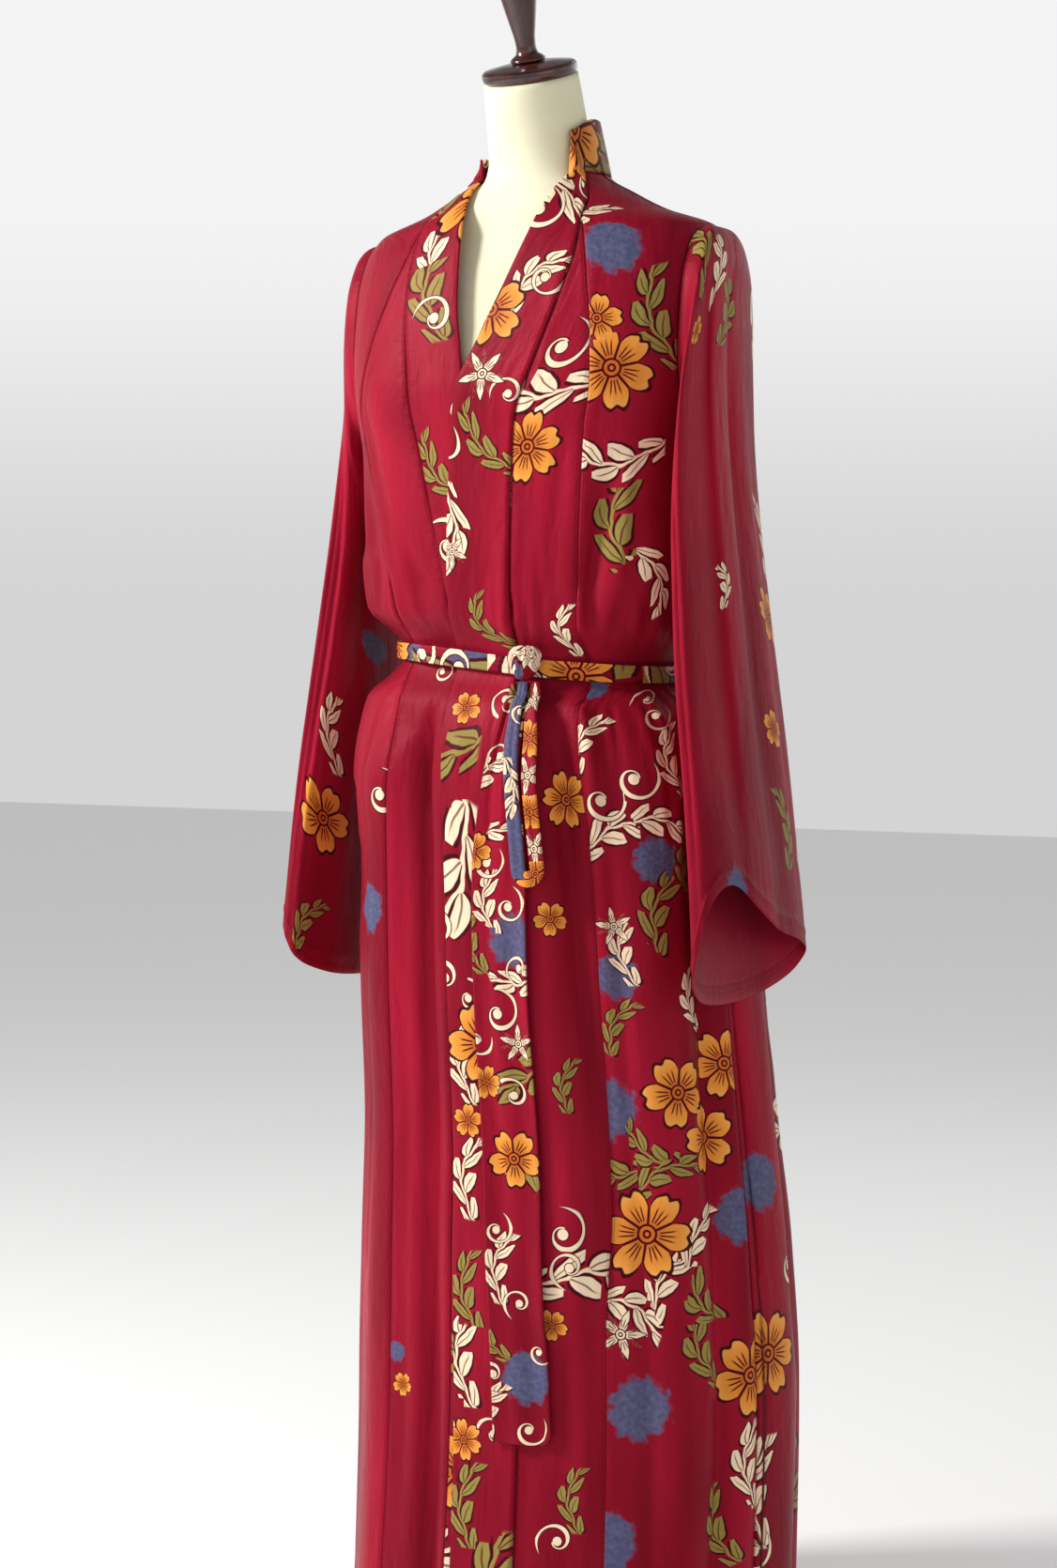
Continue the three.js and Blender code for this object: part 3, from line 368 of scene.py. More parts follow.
def shader_group(name, inputs, outputs):
    """A new group with its input and output nodes. Sockets are given as name: kind."""
    group = bpy.data.node_groups.new(name, "ShaderNodeTree")
    for words, in_out in ((inputs, "INPUT"), (outputs, "OUTPUT")):
        for label, kind in words.items():
            group.interface.new_socket(label, in_out=in_out, socket_type="NodeSocket" + kind)
    return group, group.nodes.new("NodeGroupInput"), group.nodes.new("NodeGroupOutput")


def split(tree, socket):
    node = tree.nodes.new("ShaderNodeSeparateXYZ")
    tree.links.new(socket, node.inputs[0])
    return [Field(tree, out) for out in node.outputs]


def noise(tree, socket, scale, detail=2.0, roughness=0.5):
    node = tree.nodes.new("ShaderNodeTexNoise")
    tree.links.new(socket, node.inputs["Vector"])
    node.inputs["Scale"].default_value = scale
    node.inputs["Detail"].default_value = detail
    node.inputs["Roughness"].default_value = roughness
    return Field(tree, node.outputs["Fac"])


def mix_color(tree, factor, low, high):
    node = tree.nodes.new("ShaderNodeMix")
    node.data_type = "RGBA"
    for name, value in ((0, factor), (6, low), (7, high)):
        if isinstance(value, Field):
            tree.links.new(value.socket, node.inputs[name])
        elif isinstance(value, bpy.types.NodeSocket):
            tree.links.new(value, node.inputs[name])
        elif name:
            node.inputs[name].default_value = (*value, 1)
        else:
            node.inputs[name].default_value = value
    return node.outputs[2]


def flower_print():
    """A round flower of five or six notched petals with dark outlines, a vein down each, and a
    ringed heart. From kind 4 on it is a pointed star leaf of the same make."""
    group, given, made = shader_group(
        "printed flower",
        {"Place": "Vector"},
        {"Fill": "Float", "Line": "Float", "Shade": "Float", "Star": "Float"},
    )
    x, y, kind = split(group, given.outputs["Place"])
    wobble = (noise(group, given.outputs["Place"], 2.2) - 0.5) * 0.16
    radius = (x * x + y * y).op("SQRT")
    petals = kind.op("MODULO", 2.0).op("ROUND") + 5.0
    turns = y.op("ARCTAN2", x) / (2 * math.pi) * petals
    aside = (turns.op("FRACT") - 0.5).size()
    star = kind.over(3.4, 3.6)
    notch = aside.over(0.15, 0.0) * 0.10
    petal_rim = (aside * 2.0).op("POWER", 2.6) * -0.46 + 0.96 - notch
    leaf_rim = (aside * -2.0 + 1.0).op("POWER", 1.5) * 0.72 + 0.25
    rim = petal_rim + (leaf_rim - petal_rim) * star + wobble
    fill = radius.over(rim, rim - 0.03)
    outline = (radius - rim).size().over(0.055, 0.028)
    between = (aside * -1.0 + 0.5) * radius
    parting = between.over(0.038, 0.018) * radius.over(0.16, 0.2) * fill
    stroke = aside.op("MINIMUM", (aside - 0.19).size()) * radius
    vein = stroke.over(0.022, 0.008) * radius.over(0.24, 0.3) * radius.over(0.66, 0.5)
    heart = (radius - 0.19).size().op("MINIMUM", (radius - 0.07).size()).over(0.035, 0.015)
    line = outline.op("MAXIMUM", parting).op("MAXIMUM", vein).op("MAXIMUM", heart)
    near = radius.over(1.08, 1.02)
    for name, value in (("Fill", fill), ("Line", line * near), ("Shade", radius), ("Star", star)):
        group.links.new(value.socket, made.inputs[name])
    return group


def spray_print():
    """A bending stem with pointed leaves on both sides, each with a midrib and a dark outline."""
    group, given, made = shader_group(
        "printed leaf spray", {"Place": "Vector"}, {"Fill": "Float", "Line": "Float", "Olive": "Float"}
    )
    x, y, kind = split(group, given.outputs["Place"])
    wobble = (noise(group, given.outputs["Place"], 1.7) - 0.5) * 0.22
    lean = math.radians(44)  # of a leaf from the stem
    spacing = 0.56  # from one leaf to the next on its side
    off_stem = y - (x * 2.0).op("COSINE") * 0.30 + 0.12 + wobble
    above = off_stem.over(-0.001, 0.001)
    step = (x + 1.0) / spacing + above * 0.5
    along_stem = (step.op("FRACT") - 0.14) * spacing
    out = off_stem.size()
    along = along_stem * math.cos(lean) + out * math.sin(lean)
    across = out * math.cos(lean) - along_stem * math.sin(lean)
    length = x.size() * -0.22 + 0.78
    share = (along / length).op("MINIMUM", 1.0).op("MAXIMUM", 0.0)
    across = across + share * share * length * 0.38 - length * 0.02
    half = (share.op("POWER", 0.8) * math.pi).op("SINE") * length * 0.185
    leaf = across.size()
    fill = leaf.over(half, half - 0.02) * share.over(0.02, 0.06)
    outline = (leaf - half - 0.014).size().over(0.036, 0.016)
    outline = outline * share.over(0.02, 0.05) * share.over(1.0, 0.985)
    midrib = leaf.over(0.020, 0.008) * share.over(0.75, 0.5)
    stem = out.over(0.060, 0.042)
    ends = x.size().over(0.99, 0.93)
    body = fill.op("MAXIMUM", stem) * ends
    line = outline.op("MAXIMUM", midrib * fill * 0.8) * ends
    olive = kind.over(0.4, 0.6)
    for name, value in (("Fill", body), ("Line", line), ("Olive", olive)):
        group.links.new(value.socket, made.inputs[name])
    return group


def curl_print():
    """A tendril that winds in on itself, thick and thin, and ends in a ball."""
    group, given, made = shader_group(
        "printed curl", {"Place": "Vector"}, {"Fill": "Float", "Line": "Float"}
    )
    x, y, kind = split(group, given.outputs["Place"])
    growth = 0.24  # how fast the spiral opens
    radius = (x * x + y * y).op("SQRT")
    angle = y.op("ARCTAN2", x)
    arm = (radius.op("LOGARITHM", math.e) / growth - angle) / (2 * math.pi)
    wound = angle + arm.op("ROUND") * (2 * math.pi)
    off_arm = (radius - (wound * growth).op("EXPONENT")).size()
    swell = (wound * 1.6 + kind).op("SINE") * 0.045 + 0.075
    half = swell * radius.over(0.0, 0.9) + 0.028
    inside = radius.over(0.98, 0.94) * wound.over(-6.6, -6.2)
    ball = radius.over(0.21, 0.18)
    fill = (off_arm.over(half, half - 0.02) * inside).op("MAXIMUM", ball)
    line = off_arm.over(half + 0.04, half + 0.02) * inside
    line = line.op("MAXIMUM", radius.over(0.25, 0.23))
    for name, value in (("Fill", fill), ("Line", line)):
        group.links.new(value.socket, made.inputs[name])
    return group


def patch_print():
    """A soft round patch with a ragged, feathered edge."""
    group, given, made = shader_group("printed patch", {"Place": "Vector"}, {"Fill": "Float"})
    x, y, kind = split(group, given.outputs["Place"])
    ragged = (noise(group, given.outputs["Place"], 3.5, 4.0) - 0.5) * 0.7
    scallop = (y.op("ARCTAN2", x) * 9.0 + kind).op("SINE") * 0.05
    radius = (x * x + y * y).op("SQRT") + ragged + scallop
    group.links.new(radius.over(0.92, 0.68).socket, made.inputs["Fill"])
    return group


def place_group(tree, group, **given):
    node = tree.nodes.new("ShaderNodeGroup")
    node.node_tree = group
    for name, value in given.items():
        slot = node.inputs[name.replace("_", " ")]
        if isinstance(value, Field):
            tree.links.new(value.socket, slot)
        elif isinstance(value, bpy.types.NodeSocket):
            tree.links.new(value, slot)
        else:
            slot.default_value = value
    return {out.name: Field(tree, out) for out in node.outputs}


def floral_print():
    """All four motifs over a ground colour, from the back layer to the front one."""
    inputs = {name.capitalize(): "Vector" for name in MOTIFS} | {"Ground": "Color"}
    group, given, made = shader_group("floral print", inputs, {"Color": "Color"})
    dark = (0.050, 0.004, 0.008)
    cream = (0.92, 0.72, 0.50)
    olive = (0.30, 0.24, 0.060)
    slate, pale_slate = (0.058, 0.085, 0.175), (0.105, 0.125, 0.225)
    ochre, amber, yellow = (0.78, 0.27, 0.040), (0.58, 0.13, 0.020), (0.93, 0.46, 0.11)
    patch = place_group(group, group_of["patch"], Place=given.outputs["Patch"])
    spray = place_group(group, group_of["spray"], Place=given.outputs["Spray"])
    curl = place_group(group, group_of["curl"], Place=given.outputs["Curl"])
    flower = place_group(group, group_of["flower"], Place=given.outputs["Flower"])
    mottle = noise(group, given.outputs["Patch"], 6.0, 3.0)
    blue = mix_color(group, mottle.over(0.35, 0.7), slate, pale_slate)
    color = mix_color(group, patch["Fill"] * 0.93, given.outputs["Ground"], blue)
    leaf = mix_color(group, spray["Olive"], cream, olive)
    color = mix_color(group, spray["Line"], color, dark)
    color = mix_color(group, spray["Fill"] * (spray["Line"] * -1.0 + 1.0), color, leaf)
    color = mix_color(group, curl["Line"], color, dark)
    color = mix_color(group, curl["Fill"], color, cream)
    petal = mix_color(group, flower["Shade"].over(0.15, 0.6), amber, ochre)
    petal = mix_color(group, flower["Shade"].over(0.55, 1.0) * 0.7, petal, yellow)
    petal = mix_color(group, flower["Star"], petal, cream)
    color = mix_color(group, flower["Fill"], color, petal)
    color = mix_color(group, flower["Line"], color, dark)
    group.links.new(color, made.inputs["Color"])
    return group


def satin_weave():
    """Satin's fine floats, the faint slubs along them, and the shallow crumples of worn cloth, with a mask
    for the painted shade in the crumples' hollows.
    """
    group, given, made = shader_group(
        "satin weave", {"Cloth": "Vector", "Crumple": "Float"},
        {"Height": "Float", "Roughness": "Float", "Hollow Shade": "Float"},
    )
    u, v, _ = split(group, given.outputs["Cloth"])
    crumple = Field(group, given.outputs["Crumple"])
    pitch = 0.0006  # of the floats, in metres
    warp = (u * (2 * math.pi / pitch)).op("SINE")
    weft = (v * (2 * math.pi / pitch) + warp * 0.8).op("SINE")
    stretch = group.nodes.new("ShaderNodeVectorMath")
    stretch.operation = "MULTIPLY"
    stretch.inputs[1].default_value = (1.0, 0.28, 1.0)
    group.links.new(given.outputs["Cloth"], stretch.inputs[0])
    creases = noise(group, stretch.outputs[0], 34.0, 3.0, 0.55)
    ridge = (creases - 0.5).size().over(0.0, 0.16)
    broad = noise(group, stretch.outputs[0], 9.0, 2.0)
    height = (warp + weft) * 0.000012 + ridge * crumple * 0.00045 + broad * crumple * 0.0016
    roughness = noise(group, given.outputs["Cloth"], 55.0, 2.0) * 0.12 + 0.36
    # The broad crumples also give the mask for the painted shade in their hollows.
    for name, value in (("Height", height), ("Roughness", roughness), ("Hollow Shade", broad)):
        group.links.new(value.socket, made.inputs[name])
    return group


STITCH_LENGTH = 0.0032
STITCH_LINE = 0.0030  # how far in from the edge the stitches run


def stitched_edge():
    """A line of small stitches a few millimetres in from a sewn edge, with puckers beside it, and a painted
    shade along the stitches and at the edge itself.
    """
    group, given, made = shader_group(
        "stitched edge", {"Edge": "Vector"}, {"Height": "Float", "Shade": "Float"}
    )
    inward, along, _ = split(group, given.outputs["Edge"])
    stitch = (along * (2 * math.pi / STITCH_LENGTH)).op("SINE").over(-0.5, 0.1)
    line = (inward - STITCH_LINE).size().over(0.0008, 0.0003) * stitch
    jitter = noise(group, given.outputs["Edge"], 120.0, 2.0, 0.6)
    pucker = jitter * inward.over(0.016, 0.002)
    fold = inward.over(0.0, 0.0020)
    height = pucker * 0.0011 - line * 0.0003 + fold * 0.0006
    # Painted shade: darker on the sunk stitches and in the last millimetres at the edge.
    shade = line * 0.35 + inward.over(0.0016, 0.0) * 0.5
    group.links.new(height.socket, made.inputs["Height"])
    group.links.new(shade.socket, made.inputs["Shade"])
    return group


group_of = {
    "flower": flower_print(),
    "spray": spray_print(),
    "curl": curl_print(),
    "patch": patch_print(),
}
PRINT = floral_print()
WEAVE = satin_weave()
STITCHES = stitched_edge()


def new_material(name):
    material = bpy.data.materials.new(name)
    material.use_nodes = True
    tree = material.node_tree
    return material, tree, tree.nodes["Principled BSDF"]


def attribute(tree, name):
    node = tree.nodes.new("ShaderNodeAttribute")
    node.attribute_name = name
    return node.outputs["Vector"]


def bump(tree, height, shader):
    """The shader's normals from a height in metres."""
    node = tree.nodes.new("ShaderNodeBump")
    node.inputs["Distance"].default_value = 1.0
    node.inputs["Strength"].default_value = 1.0
    tree.links.new(height.socket, node.inputs["Height"])
    tree.links.new(node.outputs["Normal"], shader.inputs["Normal"])


def printed_satin(name, ground, painted_shade, crumple, printed=True):
    """Satin with its print, its weave and its stitched edges. The ground is darkened to a painted shade
    colour in the crumples' hollows and along the stitched edges.
    """
    material, tree, shader = new_material(name)
    cloth = attribute(tree, "cloth")
    weave = place_group(tree, WEAVE, Cloth=cloth, Crumple=crumple)
    edge = place_group(tree, STITCHES, Edge=attribute(tree, "edge"))
    # Painted shade: the ground darkens towards its shade colour in the hollows of the broad crumples.
    color = mix_color(tree, weave["Hollow Shade"].over(0.3, 0.7), painted_shade, ground)
    if printed:
        layers = {motif.capitalize(): attribute(tree, motif) for motif in MOTIFS}
        color = place_group(tree, PRINT, Ground=color, **layers)["Color"].socket
    # Painted shade along the sunk stitches and at the sewn edge.
    color = mix_color(tree, edge["Shade"], color, painted_shade)
    tree.links.new(color, shader.inputs["Base Color"])
    tree.links.new(weave["Roughness"].socket, shader.inputs["Roughness"])
    shader.inputs["Specular IOR Level"].default_value = 0.14
    shader.inputs["Specular Tint"].default_value = (1.0, 0.22, 0.27, 1)
    bump(tree, weave["Height"] + edge["Height"], shader)
    return material


# Each ground comes with a painted shade colour for its crumples' hollows and stitched edges.
CRIMSON, CRIMSON_PAINTED_SHADE = (0.370, 0.0085, 0.030), (0.190, 0.004, 0.014)
DULL_CRIMSON, DULL_PAINTED_SHADE = (0.300, 0.010, 0.028), (0.200, 0.006, 0.018)
SATIN = printed_satin("printed crimson satin", CRIMSON, CRIMSON_PAINTED_SHADE, 1.0)
REVERSE = printed_satin("satin reverse", DULL_CRIMSON, DULL_PAINTED_SHADE, 0.8, False)


# Cutting a piece. It is a grid of points over the surface, with a thin wall. Each corner of its faces
# carries its place on the flat cloth, and its place on the nearest motif of each kind.

CLOTH_THICK = 0.0012
HEM_FOLD = 0.0125  # how far the hem is turned up
HEM_STITCHES = 0.0142  # how far up the groove runs that its stitches draw in
HEM_LINE = 0.0112  # how far up the sewn edge lies that those stitches keep to
SEAM_DIP, SEAM_HALF = 0.0011, 0.0021  # the depth and half width of the groove along a seam
# The grid's rows: close at the hem's stitches, wider down the skirt, closest round the neck.
ROWS = np.unique(np.concatenate([
    HEM_Z + np.array([0, 0.0015, 0.012, HEM_STITCHES, 0.0165, 0.021]),
    np.arange(0.073, 1.150, 0.0078),
    np.arange(1.150, 1.340, 0.0065),
    np.arange(1.340, NECK_Z, 0.0026),
    [NECK_Z],
]).round(5))
TUCK = 0.0045  # how far a seam allowance reaches under the neighbouring piece
TUCK_START = 0.0006
TUCK_DROP = 0.0023
TUCK_FLAT = 0.0012  # how far the print is carried on over it
PANEL_WIDTH = 0.30  # a usual panel's, from which its edge columns are spaced
NO_MOTIF = (-9, -9, 0.01, 0, 0)  # a motif far off the cloth, for a layer that a piece doesn't have


def grid_mesh(name, points, uv, edge, motifs, closed=False):
    """The mesh of a grid of points [row, column], with its cloth, edge and motif coordinates."""
    row_count, column_count = points.shape[:2]
    mould = bmesh.new()
    bmesh.ops.create_grid(mould, x_segments=column_count - 1, y_segments=row_count - 1, size=1)
    places = np.array([v.co for v in mould.verts])
    column = np.rint((places[:, 0] + 1) / 2 * (column_count - 1)).astype(int)
    row = np.rint((places[:, 1] + 1) / 2 * (row_count - 1)).astype(int)
    mesh = bpy.data.meshes.new(name)
    mould.to_mesh(mesh)
    mould.free()
    mesh.vertices.foreach_set("co", points[row, column].astype(np.float32).ravel())
    corner = np.empty(len(mesh.loops), np.int32)
    mesh.loops.foreach_get("vertex_index", corner)
    corner_uv = uv[row[corner], column[corner]]
    edge_values = edge[row[corner], column[corner]]
    middle = corner_uv.reshape(-1, 4, 2).mean(1)

    def store(layer, values):
        made = mesh.attributes.new(layer, "FLOAT_VECTOR", "CORNER")
        made.data.foreach_set("vector", values.astype(np.float32).ravel())

    zero = np.zeros((len(corner), 1))
    store("cloth", np.hstack([corner_uv, zero]))
    store("edge", np.hstack([edge_values, zero]))
    for layer in MOTIFS:
        rows = np.array([motif[1:] for motif in motifs if motif[0] == layer] or [NO_MOTIF])
        turn = np.radians(rows[:, 3])
        away = middle[:, None] - rows[None, :, :2]
        nearest = (np.linalg.norm(away, axis=-1) / rows[:, 2]).argmin(1).repeat(4)
        offset = (corner_uv - rows[nearest, :2]) / rows[nearest, 2:3]
        cos, sin = np.cos(turn[nearest]), np.sin(turn[nearest])
        local_x = offset[:, 0] * cos + offset[:, 1] * sin
        local_y = offset[:, 1] * cos - offset[:, 0] * sin
        store(layer, np.stack([local_x, local_y, rows[nearest, 4]], -1))
    flat_map = mesh.uv_layers.new(name="flat cloth")
    flat_map.data.foreach_set("uv", corner_uv.astype(np.float32).ravel())
    mesh.polygons.foreach_set("use_smooth", np.ones(len(mesh.polygons), bool))
    if closed:
        tube = bmesh.new()
        tube.from_mesh(mesh)
        bmesh.ops.remove_doubles(tube, verts=tube.verts, dist=1e-6)
        tube.to_mesh(mesh)
        tube.free()
    mesh.update()
    return mesh


def flat_cloth(points, origin_column=0):
    """Where each point of the grid lies on the cloth when it is flat: across, then up."""
    across = np.linalg.norm(np.diff(points, axis=1), axis=-1)
    across = np.concatenate([np.zeros((len(points), 1)), across.cumsum(1)], 1)
    across -= across[:, origin_column:][:, :1]
    up = np.linalg.norm(np.diff(points[:, points.shape[1] // 2], axis=0), axis=-1)
    up = np.concatenate([[0], up.cumsum()])
    return np.stack([across, np.broadcast_to(up[:, None], across.shape)], -1)


def spread(count, width):
    """Column places from 0 to 1, closer together beside both edges."""
    near = np.array([0.0012, 0.0032]) / width
    return np.concatenate([[0], near, np.linspace(0, 1, count + 1)[1:-1], 1 - near[::-1], [1]])


def lookup(grid, across, down, columns, rows):
    """The grid's value at a share of the width and a place down the piece."""
    column = np.interp(across, columns, np.arange(len(columns)))
    row = np.interp(down, rows, np.arange(len(rows)))
    left, first = min(int(column), len(columns) - 2), min(int(row), len(rows) - 2)
    near = grid[first, left] * (1 - column + left) + grid[first, left + 1] * (column - left)
    far = grid[first + 1, left] * (1 - column + left) + grid[first + 1, left + 1] * (column - left)
    return near * (1 - row + first) + far * (row - first)


def lay_out(print_rows, uv, columns, rows):
    """Motif rows (kind of motif, share across, place down, half size, turn, kind) on the cloth."""
    return [
        (motif, *lookup(uv, across, down, columns, rows), size, turn, kind)
        for motif, across, down, size, turn, kind in print_rows
    ]


STREWN_SIZES = {
    "flower": (0.030, 0.046), "spray": (0.045, 0.075), "curl": (0.016, 0.028), "patch": (0.026, 0.042),
}
TRIES = 30  # draws for a clear place before a motif is left out


def scatter(seed, counts, across, down, keep_off=(), width=0.35, length=1.0, scale=1.0):
    """Motifs strewn over a stretch of a piece of this width and length, none on another of its kind."""
    draws = random.Random(seed)
    rows = list(keep_off)
    made = []
    for motif, count in counts.items():
        for _ in range(count):
            for _ in range(TRIES):
                size = draws.uniform(*STREWN_SIZES[motif]) * scale
                place = draws.uniform(*across), draws.uniform(*down)
                gaps = [
                    math.hypot((row[1] - place[0]) * width, (row[2] - place[1]) * length)
                    - 0.8 * (row[3] + size)
                    for row in rows
                    if row[0] == motif
                ]
                if min(gaps, default=1) > 0:
                    row = (motif, *place, size, draws.uniform(0, 360), draws.randint(0, 1))
                    rows.append(row)
                    made.append(row)
                    break
    return made


def finish_cloth(piece, nodes, thick=CLOTH_THICK):
    """Gives a piece its wall and materials, and hides the solids it stands in for."""
    bpy.context.collection.objects.link(piece)
    for material in (SATIN, REVERSE):
        piece.data.materials.append(material)
    wall = piece.modifiers.new("wall", "SOLIDIFY")
    wall.thickness = thick
    wall.offset = 0
    wall.material_offset = 1
    wall.use_quality_normals = True
    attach(piece, "root")
    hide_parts(*nodes)


def body_panel(name, rows, start, end, columns, print_rows, drop=None, tucks=(0, 0), neck=False):
    """A panel between two angles, given for each row, from the wearer's right to the left. Its
    edges dip into their seams, and an edge with a tuck reaches on under the neighbouring piece."""
    share = spread(columns, PANEL_WIDTH)
    degrees = start[:, None] + (end - start)[:, None] * share[None, :]
    z = np.broadcast_to(rows[:, None], degrees.shape)
    out = drop(degrees, z) if drop else 0.0
    surface = robe_points(degrees, z, out)
    normals = robe_normals(degrees, z)
    uv = flat_cloth(surface)
    from_start, from_end = uv[..., 0], uv[:, -1:, 0] - uv[..., 0]
    inward = np.minimum(from_start, from_end)
    hem = rows[:, None] - HEM_Z if rows[0] == HEM_Z else np.ones((len(rows), 1))
    dip = SEAM_DIP * np.exp(-((inward / SEAM_HALF) ** 2))
    stitched = 0.0007 * np.exp(-(((hem - HEM_STITCHES) / 0.0016) ** 2)) - 0.0004 * (hem < HEM_FOLD)
    surface = surface - normals * (dip + stitched)[..., None]
    if neck:
        surface[-1, :, 2] -= 0.0002
    along_edge = np.where(inward < hem, uv[..., 1], uv[..., 0])
    edge = np.stack([np.minimum(inward, np.abs(hem - HEM_LINE)), along_edge], -1)
    for at_end, tucked in enumerate(tucks):
        if not tucked:
            continue
        column, beside, outward = (-1, -2, 1) if at_end else (0, 1, -1)
        slope = surface[:, column] - surface[:, beside]
        slope = slope / np.linalg.norm(slope, axis=-1, keepdims=True)
        level = surface[:, column] + normals[:, column] * dip[:, column][:, None]
        under = level - normals[:, column] * TUCK_DROP
        flap = np.stack([under + slope * reach for reach in (TUCK_START, TUCK)][::outward], 1)
        flap_uv = np.stack([uv[:, column] + [outward * TUCK_FLAT, 0]] * 2, 1)
        flap_edge = np.stack([edge[:, column]] * 2, 1)
        surface, uv, edge = (
            np.concatenate([grid, added][::outward], 1)
            for grid, added in ((surface, flap), (uv, flap_uv), (edge, flap_edge))
        )
        share = np.concatenate([share, [1.01, 1.02]] if at_end else [[-0.02, -0.01], share])
    motifs = lay_out(print_rows, uv, share, rows)
    return bpy.data.objects.new(name, grid_mesh(name, surface, uv, edge, motifs))


# The print's rows: motif, place across the piece (0 at the wearer's right), height, half size, turn, kind.
BACK_PRINT = [
    ("patch", 0.027, 0.463, 0.034, 0, 1),
    ("flower", 0.018, 0.299, 0.046, 25, 1),
    ("curl", 0.082, 0.377, 0.027, 40, 0),
    ("spray", 0.004, 0.167, 0.056, 90, 0),
    ("curl", 0, 0.112, 0.025, 20, 1),
]
BACK_COUNTS = {"flower": 12, "spray": 30, "curl": 20, "patch": 9}
BACK_PRINT += scatter(5, BACK_COUNTS, (0.12, 0.96), (0.08, 1.36), BACK_PRINT, 0.62)

back_start = panel_end(ROWS, "back")
back = body_panel("back_panel", ROWS, back_start, 360 - back_start, 110, BACK_PRINT, neck=True)
finish_cloth(back, ["back"])


# ---------------------------------------------------------------------------------- front panels
# Two fronts from the shoulder to the hem, and between each front and its collar band an overlap
# panel that tapers to nothing near the neck. The left front laps over the right one.

LAYER_DROP = 0.0052  # how far the right front lies under the left one
HALVINGS = 22  # of the search for an angle


def front_angle(x, z):
    """The angle, on the front half, of the surface's point that lies at x."""
    x, z = np.broadcast_arrays(np.asarray(x, float), np.asarray(z, float))
    low, high = np.full(x.shape, -90.0), np.full(x.shape, 90.0)
    for _ in range(HALVINGS):
        middle = (low + high) / 2
        short = robe_points(middle, z)[..., 0] < x
        low, high = np.where(short, middle, low), np.where(short, high, middle)
    return (low + high) / 2


def layer_drop(degrees, z):
    """How far the right front is dropped under the left one, by place."""
    return -LAYER_DROP * smoothstep(degrees, -52, -30) * (1 - smoothstep(z, 1.222, 1.300))


LEFT_BAND = Profile(
    ("z", "seam", "edge", "edge_z"),
    (0.045, 0.040, -0.026, 0.045),
    (0.688, 0.038, -0.031, 0.688),
    (0.957, 0.030, -0.037, 0.957),
    (1.060, 0.032, -0.035, 1.066),
    (1.114, 0.034, -0.032, 1.136),
    (1.179, 0.038, -0.025, 1.206),
    (1.240, 0.058, 0, 1.265),
    (1.294, 0.075, 0.022, 1.318),
    (1.345, 0.085, 0.038, 1.366),
    (1.385, 0.080, 0.048, 1.412),
    (1.420, 0.055, 0.050, 1.458),
)
RIGHT_BAND = Profile(
    ("z", "seam", "edge", "edge_z"),
    (0.045, 0.039, -0.026, 0.045),
    (0.688, 0.034, -0.031, 0.688),
    (0.957, 0.035, -0.030, 0.957),
    (1.060, 0.053, -0.012, 1.064),
    (1.150, 0.073, 0.009, 1.158),
    (1.207, 0.086, 0.022, 1.214),
    (1.260, 0.090, 0.029, 1.270),
    (1.320, 0.092, 0.037, 1.336),
    (1.366, 0.090, 0.044, 1.388),
    (1.390, 0.080, 0.048, 1.414),
    (1.420, 0.055, 0.050, 1.436),
)
OVERLAP_WIDTHS = Profile(
    ("z", "width"),
    (0.045, 0.084), (0.780, 0.076), (0.957, 0.066), (1.188, 0.069),
    (1.250, 0.049), (1.300, 0.027), (1.340, 0.010), (1.366, 0.003),
)
